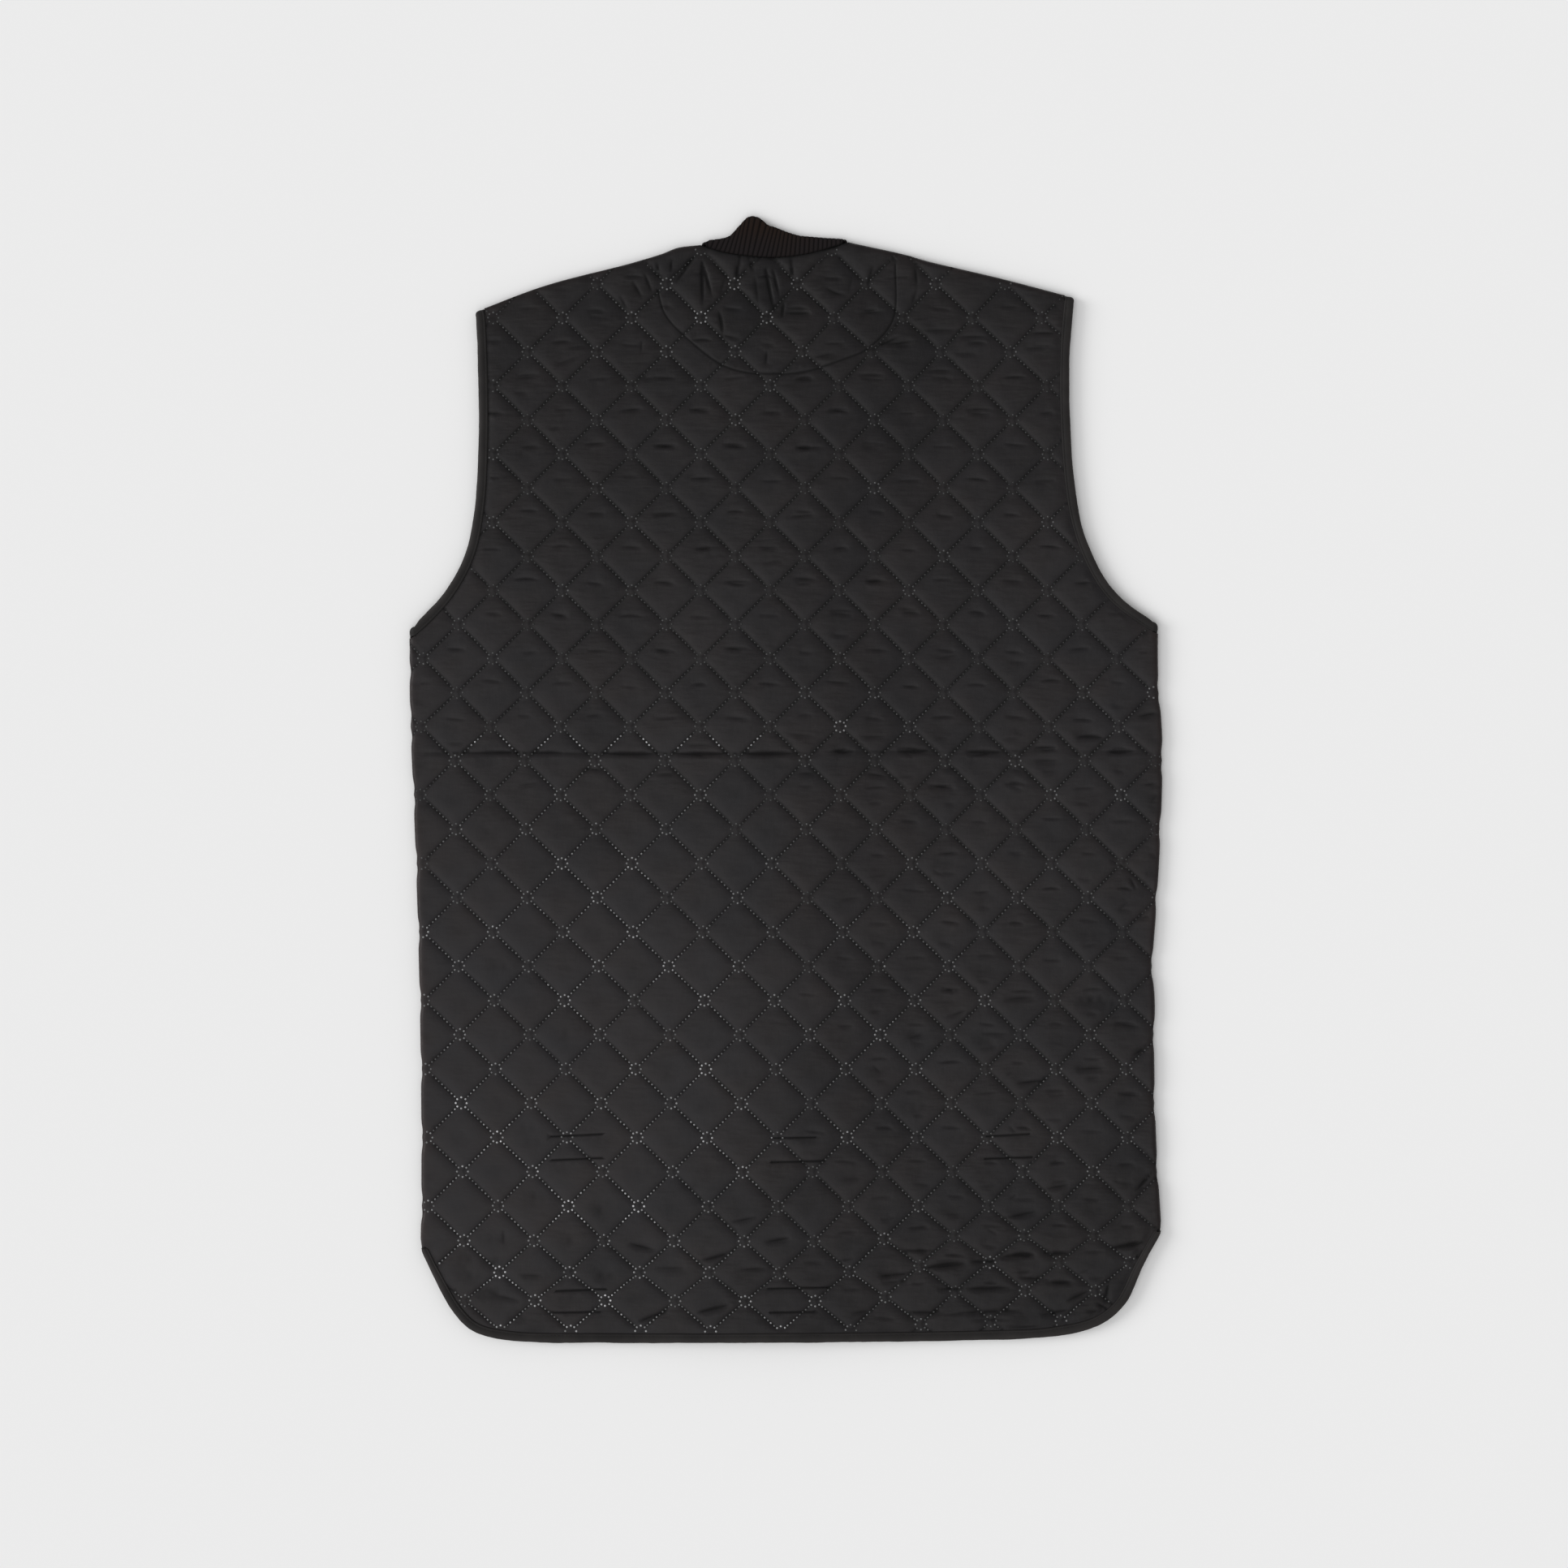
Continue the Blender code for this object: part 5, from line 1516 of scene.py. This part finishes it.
def narrowing(along, closed):
    """How much narrower an open binding is at each place along it."""
    if closed:
        return np.zeros_like(along)
    from_end = np.minimum(along, along[-1] - along)
    return BIND_NARROW * (1.0 - ease(from_end, *NARROW_FADE))


def binding_section(place, uneven, full, narrow):
    """A binding's section at a station; full is 0 at an open end, 1 away from it."""
    rows = []
    for a, c in binding_profile(place.slot):
        in_slot = a == place.slot
        swell = 1.0 + SWELL * uneven if abs(c) > 1.0 else 1.0
        nose = 0.0
        if place.slot == BIND_WALL and a < 1.5 and abs(c) <= 1.7 and not in_slot:
            nose = STRAY * uneven
        if a < BIND_WIDTH / 2:
            nose += BIND_SHORT * (1.0 - full)
        elif not in_slot:
            nose -= BIND_TUCK * (1.0 - full) ** 1.5
        if not in_slot:
            a = a * (1.0 - narrow / BIND_WIDTH)
        if abs(c) > BIND_MOUTH:
            high = (abs(c) - BIND_MOUTH) * (0.3 + 0.7 * full)
            c = math.copysign(BIND_MOUTH + high, c)
        rows.append(place.at + (a + nose) * place.inward + c * swell * place.normal)
    return np.array(rows)


def binding_mesh(route, closed, seed):
    """A binding swept along its route; an open one thins and rounds at its ends."""
    chance = np.random.default_rng(seed)
    stray = chance.normal(0.0, 1.0, len(route) + 8)
    drift = np.convolve(stray, np.ones(9) / 3, "valid")
    along = lengths(np.array([place.at for place in route]))
    narrow = narrowing(along, closed)
    sections = []
    for place, uneven, run, less in zip(route, drift, along, narrow):
        from_end = BIND_ROUND if closed else min(run, along[-1] - run, BIND_ROUND)
        full = math.sqrt(1.0 - (1.0 - from_end / BIND_ROUND) ** 2)
        sections.append(binding_section(place, uneven, full, less))
    # a painted highlight along the outer bend, and paler near open ends
    worn = [bell(a, BEND_HIGHLIGHT) if a != BIND_WALL else 0.0
            for a, _ in binding_profile(BIND_WALL)]
    worn = np.add.outer(PALE_ENDS * (narrow / BIND_NARROW), worn).ravel()
    return *swept(sections, closed), worn


def capsule():
    """A short stitch along +X, of length 1, width 1 and height 1 above its middle."""
    rings = []
    for x, size in ((-0.5, 0.5), (-0.3, 1.0), (0.3, 1.0), (0.5, 0.5)):
        turn = np.linspace(0.0, 2 * np.pi, 4, endpoint=False)
        rings.append(np.column_stack((
            np.full(4, x), size * np.cos(turn), size * np.sin(turn)
        )))
    return swept(rings, False)


def stitch_row(route, closed):
    """Stitches along a route, on its upper and lower faces."""
    run = lengths(np.array([s.at for s in route]))
    at = np.array([
        s.at + (BIND_STITCH - less) * s.inward
        for s, less in zip(route, narrowing(run, closed))
    ])
    normal = np.array([s.normal for s in route])
    along = lengths(at)
    count = int(along[-1] / STITCH_PITCH)
    stops = (np.arange(count) + 0.5) * STITCH_PITCH
    centre = at_lengths(stops, along, at)
    ahead = at_lengths(stops + 0.8, along, at)
    up = at_lengths(stops, along, normal)
    way = ahead - centre
    way /= np.maximum(np.linalg.norm(way, axis=1), 1e-9)[:, None]
    form, faces = capsule()
    vertices, all_faces = [], []
    for side in (1, -1):
        cross = np.cross(up * side, way)
        placed = (
            (centre + side * STITCH_HIGH * up)[:, None]
            + STITCH_LONG * form[None, :, :1] * way[:, None]
            + STITCH_THICK * form[None, :, 1:2] * cross[:, None]
            + STITCH_THICK * form[None, :, 2:] * side * up[:, None]
        )
        start = sum(len(v) for v in vertices)
        for k in range(count):
            all_faces += [
                tuple(start + k * len(form) + i for i in face) for face in faces
            ]
        vertices.append(placed.reshape(-1, 3))
    return np.vstack(vertices), all_faces


# ---------------------------------------------------------------- rib collar

RIB = 1.6
BAND = 36.0
RIB_FOLDED = 2.75
WALE_PITCH = 3.5
WALE_DEEP = 0.22
SEWN = 1.1              # the rib has painted shadow this near its seam
BROWNER = (6.0, 22.0)   # and turns browner between these distances from it
Wale = namedtuple("Wale", "name foot across height")
COLLAR_WALES = tuple(Wale(*row) for row in (    # where ribs reach the outline
    ("left neck point", -63.0, -63.2, 398.6),
    ("left foot", -53.0, -49.0, 400.0),
    ("left slope", -46.0, -41.0, 402.6),
    ("left rise", -41.5, -35.5, 408.2),
    ("left shoulder of the peak", -37.0, -31.0, 413.8),
    ("peak", -31.5, -26.4, 417.4),
    ("right of the peak", -27.0, -20.8, 416.2),
    ("right shoulder of the peak", -22.0, -14.5, 411.0),
    ("right slope", -13.0, -7.5, 408.6),
    ("lower slope", -4.0, -0.8, 405.8),
    ("flat", 8.0, 9.0, 402.6),
    ("right flat", 28.0, 28.5, 400.9),
    ("right neck point", 46.0, 45.6, 400.0),
))
NECK_CLEAR = 0.05
FOLD_RUN = 4.55
SHORT_RUN = 0.4
UNFOLD = (
    (135.0, 4.2, 0.6),
    (90.0, 2.6, 1.2),
    (45.0, 1.2, -1.0),
)
BACK_RIBS = 19
FRONT_RIB_PITCH = 9.0
RISE_SHARES = (0.0, 0.06, 0.13, 0.25, 0.5, 0.75)     # points from seam to fold
FOLD_STEPS = 12
FLAT_STEPS = 10
# The place inside the neck that the ribs run towards
AIM_ACROSS = 0.70       # of the way from x = 0 to midway between the neck points
AIM_DOWN = 0.42         # of the way down to the bottom of the neckline

Rib = namedtuple("Rib", "at out aim turn run")


def unit(vector):
    return vector / np.linalg.norm(vector)


def fold_step(turn, share):
    """How far out and up from the flat part the wall is, part of the way round."""
    angle = math.radians(turn)
    if angle < 0.01:
        return share * FOLD_RUN, 0.0
    radius = FOLD_RUN / angle
    return radius * math.sin(angle * share), radius * (1 - math.cos(angle * share))


def rib_path(rib):
    """The middle of the band's wall from the seam to its far edge."""
    angle = math.radians(rib.turn)
    low = RIB / 2 + (RIB_FOLDED - RIB / 2) * rib.turn / 180.0
    along, rise = rib.run * math.cos(angle), rib.run * math.sin(angle)
    reach, up = fold_step(rib.turn, 1.0)
    rim = rib.at - (reach + along) * rib.out
    path = []
    for share in RISE_SHARES:
        plan = rib.at - share * along * rib.out
        path.append((*plan, low + up + (1.0 - share) * rise))
    for k in range(FOLD_STEPS + 1):
        out, up = fold_step(rib.turn, 1.0 - k / FOLD_STEPS)
        path.append((*(rim + out * rib.out), low + up))
    within = BAND - FOLD_RUN - rib.run
    inward = unit(rib.aim - rim)
    for k in range(1, FLAT_STEPS + 1):
        path.append((*(rim + within * k / FLAT_STEPS * inward), low))
    return np.array(path)


def wale_end(foot):
    """Where the rib that starts at this place along the neck reaches the outline."""
    feet, across, heights = np.array([w[1:] for w in COLLAR_WALES]).T
    return np.array((np.interp(foot, feet, across), np.interp(foot, feet, heights)))


def back_ribs(middle):
    last = len(NECK_LINE) - 1
    inward = inward_of(NECK_LINE, 1)
    fold = fold_step(180.0, 0.5)[0] + RIB / 2
    ribs = []
    for k in range(1, BACK_RIBS - 1):
        index = round(last * k / (BACK_RIBS - 1))
        at = NECK_LINE[index] - NECK_CLEAR * inward[index]
        shown = wale_end(NECK_LINE[index][0]) - at
        run = max(SHORT_RUN, np.linalg.norm(shown) - fold)
        ribs.append(Rib(at, unit(shown), middle, 180.0, run))
    return ribs


def front_ribs(half, direction, middle):
    ribs = []
    for at in resample(neckline(half, direction), FRONT_RIB_PITCH)[1:]:
        past = at[0] - closing(at[1])
        aim = middle if past * direction < 0.1 else middle + np.array((past, 0.0))
        into = unit(aim - at)
        ribs.append(Rib(at + NECK_CLEAR * into, -into, aim, 0.0, SHORT_RUN))
    return ribs


def unfolding_ribs(corner, side, back_rib, front_rib):
    ribs = []
    for turn, across, up in UNFOLD:
        at = corner + np.array((side * across, up))
        share = 1.0 - turn / 180.0
        out = unit(back_rib.out * (1.0 - share) + front_rib.out * share)
        ribs.append(Rib(at, out, back_rib.aim, turn, SHORT_RUN))
    return ribs


def between(a, b, c, d, t):
    """A Catmull-Rom value between b and c."""
    bend = 2 * a - 5 * b + 4 * c - d + t * (3 * (b - c) + d - a)
    return b + t / 2 * (c - a + t * bend)


def fine_ribs(ribs, step=WALE_PITCH / 8):
    """Ribs at even steps along the seam, between the ones that shape the band."""
    keys = np.array([[*r.at, *r.out, *r.aim, r.turn, r.run] for r in ribs])
    keys = np.vstack((2 * keys[0] - keys[1], keys, 2 * keys[-1] - keys[-2]))
    rows = []
    for a, b, c, d in zip(keys, keys[1:], keys[2:], keys[3:]):
        count = max(3, round(np.linalg.norm(c[:2] - b[:2]) / step))
        for k in range(count):
            t = k / count
            row = between(a, b, c, d, t)
            row[6] = b[6] + (c[6] - b[6]) * t
            row[7] = max(SHORT_RUN, row[7])
            rows.append(row)
    rows.append(keys[-2])
    return [
        Rib(row[:2], unit(row[2:4]), row[4:6], row[6], row[7]) for row in rows
    ]


def wale_relief(phase):
    """Height of the knit across one wale: a groove, and a fine line at its middle."""
    share = phase % 1.0
    away = np.abs(share - 0.5) * 2.0
    return -bell(1.0 - away, 0.40) - 0.18 * bell(away, 0.2)


def collar_ribs():
    """Ribs round the whole band, from the left front's edge to the right front's."""
    left, right = HALF_LEFT, HALF_RIGHT
    left_point, right_point = left.shoulder[-1], right.shoulder[-1]
    middle = np.array((
        AIM_ACROSS * (left_point[0] + right_point[0]) / 2,
        left_point[1] - AIM_DOWN * FRONT_NECK_DROP,
    ))
    back = back_ribs(middle)
    front_left = front_ribs(left, 1, middle)
    front_right = front_ribs(right, -1, middle)
    round_left = unfolding_ribs(left_point, 1, back[0], front_left[0])
    round_right = unfolding_ribs(right_point, -1, back[-1], front_right[0])
    left_end = (round_left + front_left)[::-1]
    return fine_ribs(left_end + back + round_right + front_right)


def collar_paths(ribs):
    """The ribs' paths; those along the right front climb as it does."""
    paths = []
    for k, rib in enumerate(ribs):
        path = rib_path(rib)
        if k > len(ribs) / 2 and rib.turn == 0.0:
            path[:, 2] += float(right_base(*rib.at))
        paths.append(path)
    return np.array(paths)


def collar_mesh():
    """The band as one wall; the painted shade of its grooves and by its seam, and how far
    folded its points are.
    """
    ribs = collar_ribs()
    paths = collar_paths(ribs)
    knit = wale_relief(lengths(np.array([rib.at for rib in ribs])) / WALE_PITCH)
    normal = np.cross(np.gradient(paths, axis=0), np.gradient(paths, axis=1))
    normal /= np.maximum(np.linalg.norm(normal, axis=2), 1e-9)[..., None]
    wall = (RIB / 2 + WALE_DEEP * knit[:, None, None]) * normal
    sections = [np.vstack((a, b[::-1])) for a, b in zip(paths + wall, paths - wall)]
    steps = np.linalg.norm(np.diff(paths, axis=1), axis=2)
    reach = np.cumsum(np.column_stack((np.zeros(len(paths)), steps)), axis=1)
    flat = np.array([rib.turn / 180.0 for rib in ribs])[:, None] ** 4
    # painted shade in the grooves, and painted shadow by the seam
    valley = np.clip(-knit, 0.0, 1.0)[:, None]
    valley = np.maximum(valley, flat * bell(reach, SEWN))
    folded = ease(reach, *BROWNER)
    return *swept(sections, False), *(
        np.hstack((values, values[:, ::-1])).ravel() for values in (valley, folded)
    )


# ---------------------------------------------------------------- press studs

SNAPS = 6
SNAP_TOP = 284.0
SNAP_PITCH = 117.0
CAP_HIGH = 1.0
DIMPLE_FLOOR = CAP_HIGH + GAP
DIMPLE_CLOTH = 1.2
SOCKET_SINK = 0.9
CAP_PROFILE = (
    (2.6, 0.12), (3.3, 0.05), (4.1, 0.0), (4.6, 0.14), (4.95, 0.42), (4.95, 0.78),
    (4.7, CAP_HIGH),
)
STUD_LOW = DIMPLE_FLOOR + DIMPLE_CLOTH + GAP
STUD_HIGH = LAYER + SOCKET_SINK - GAP - STUD_LOW
STUD_DRAWN = 1.85       # height of the section below, which is scaled to fit
STUD_PROFILE = tuple((r, z * STUD_HIGH / STUD_DRAWN) for r, z in (
    (3.9, 0.0), (4.35, 0.2), (4.35, 0.5), (3.6, 0.8), (3.5, 1.1), (4.2, 1.4),
    (4.35, 1.6), (4.0, STUD_DRAWN),
))


def turned(profile, centre, base, sides=40):
    """A round piece from its profile of radius and height."""
    turn = 2 * np.pi * np.arange(sides) / sides
    rings = [
        np.column_stack((
            centre[0] + r * np.cos(turn), centre[1] + r * np.sin(turn),
            np.full(sides, base + z),
        )) for r, z in profile
    ]
    return swept(rings, False)


# ---------------------------------------------------------------- build

quilt = quilt_material()
tape = tape_material()
weld = weld_material()
rib_knit = rib_material()
metal = metal_material()

back = back_cloth()
left_front = front_cloth(HALF_LEFT, 1, flat_base, (9.0, 4.0), 11)
right_front = front_cloth(HALF_RIGHT, -1, right_base, (-7.0, -5.0), 17)

for name, node, cloth, rows in (
    ("back_cloth", "back_panel", back, FINE_ROWS),
    ("front_cloth_left", "front_panel_left", left_front, MEDIUM_ROWS),
    ("front_cloth_right", "front_panel_right", right_front, MEDIUM_ROWS),
):
    vertices, faces = panel_shell(cloth, rows)
    piece = add_mesh(name, vertices, faces, quilt)
    add_values(piece, **cloth_values(cloth, vertices[:, :2]))
    place_piece(piece, "quilt", node)

for name, cloth, seed in (
    ("back_welds", back, 3), ("front_welds_left", left_front, 4),
    ("front_welds_right", right_front, 6),
):
    place_piece(add_dots(name, cloth, seed, weld), "quilt")

for name, route, closed, node, seed in (
    ("armhole_tape_left", armhole_route(HALF_LEFT), True,
     "armhole_binding_left", 21),
    ("armhole_tape_right", armhole_route(HALF_RIGHT), True,
     "armhole_binding_right", 22),
    ("hem_tape", lay(HEM_LINE, -1, back_base), False, "hem_binding_back", 23),
    ("edge_tape_left", edge_route(HALF_LEFT, 1, flat_base), False,
     "edge_binding_front_left", 24),
    ("edge_tape_right", edge_route(HALF_RIGHT, -1, right_base), False,
     "edge_binding_front_right", 25),
):
    vertices, faces, worn = binding_mesh(route, closed, seed)
    piece = add_mesh(name, vertices, faces, tape)
    add_values(piece, worn=worn)
    place_piece(piece, "tape", node)
    row = stitch_row([s for s in route if s.slot == BIND_WALL], closed)
    stitches = add_mesh(name + "_stitches", *row, tape)
    place_piece(stitches, "tape")

vertices, faces, valley, folded = collar_mesh()
collar = add_mesh("rib_band", vertices, faces, rib_knit)
place_piece(collar, "rib", "rib_collar")
add_values(collar, valley=valley, folded=folded)

for number in range(SNAPS):
    height = SNAP_TOP - number * SNAP_PITCH
    centre = (float(closing(height)), height)
    for kind, profile, low in (
        ("cap", CAP_PROFILE, 0.0), ("stud", STUD_PROFILE, STUD_LOW)
    ):
        name = f"snap_{kind}_{number + 1}"
        piece = add_mesh(name + "_turned", *turned(profile, centre, low), metal)
        place_piece(piece, "snap", name)

# ---------------------------------------------------------------- floor, light, camera

# In metres from here on
FRAME_WIDTH = 1.1592    # the floor across the picture
CAMERA_HIGH = 3.0       # above the vest's middle plane
CAMERA_AT = (-0.0015, -0.0033)
VEST_MIDDLE = 0.007
FLOOR_HALF = 25.0
FLOOR_DROP = 0.0004     # the floor is this far below the vest
WHITE = (1.0, 1.0, 1.0, 1.0)
SKY = 0.50

# The lights: where each comes from, how wide it looks in radians, and its strength
Sun = namedtuple("Sun", "name way spread strength")
SUNS = (
    Sun("side", (-1.0, 0.1, 0.55), 0.55, 1.5),
    Sun("over", (-0.25, -0.45, 1.0), 1.0, 0.85),
)


def add_floor():
    mesh = bpy.data.meshes.new("floor")
    corners = ((-1, -1), (1, -1), (1, 1), (-1, 1))
    mesh.from_pydata(
        [(x * FLOOR_HALF, y * FLOOR_HALF, 0) for x, y in corners], [], [(0, 1, 2, 3)]
    )
    pale = Finish("pale_floor", (0.86, 0.86, 0.86), 0.9, Specular_IOR_Level=0.1)
    mesh.materials.append(pale.made)
    floor = bpy.data.objects.new("floor", mesh)
    floor.location.z = -FLOOR_DROP
    bpy.context.scene.collection.objects.link(floor)
    floor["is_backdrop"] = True


def add_light(name, way, spread, strength):
    """A wide soft light from far off, coming from a direction."""
    data = bpy.data.lights.new(name, "SUN")
    data.angle = spread
    data.energy = strength
    light = bpy.data.objects.new(name, data)
    light.rotation_euler = Vector(way).to_track_quat("Z", "Y").to_euler()
    bpy.context.scene.collection.objects.link(light)


def add_camera():
    data = bpy.data.cameras.new("camera")
    data.sensor_width = 36.0
    data.lens = data.sensor_width * CAMERA_HIGH / FRAME_WIDTH
    camera = bpy.data.objects.new("camera", data)
    camera.location = (*CAMERA_AT, CAMERA_HIGH + VEST_MIDDLE)
    bpy.context.scene.collection.objects.link(camera)
    bpy.context.scene.camera = camera


def set_world(strength):
    world = bpy.data.worlds.new("studio")
    world.use_nodes = True
    background = world.node_tree.nodes["Background"]
    background.inputs["Color"].default_value = WHITE
    background.inputs["Strength"].default_value = strength
    bpy.context.scene.world = world


add_floor()
set_world(SKY)
for sun in SUNS:
    add_light(*sun)
bpy.context.scene.view_settings.view_transform = "Standard"
add_camera()

low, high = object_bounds()
({
    "cad": [list(cad_low), list(cad_high)], "visual": [list(low), list(high)]
})
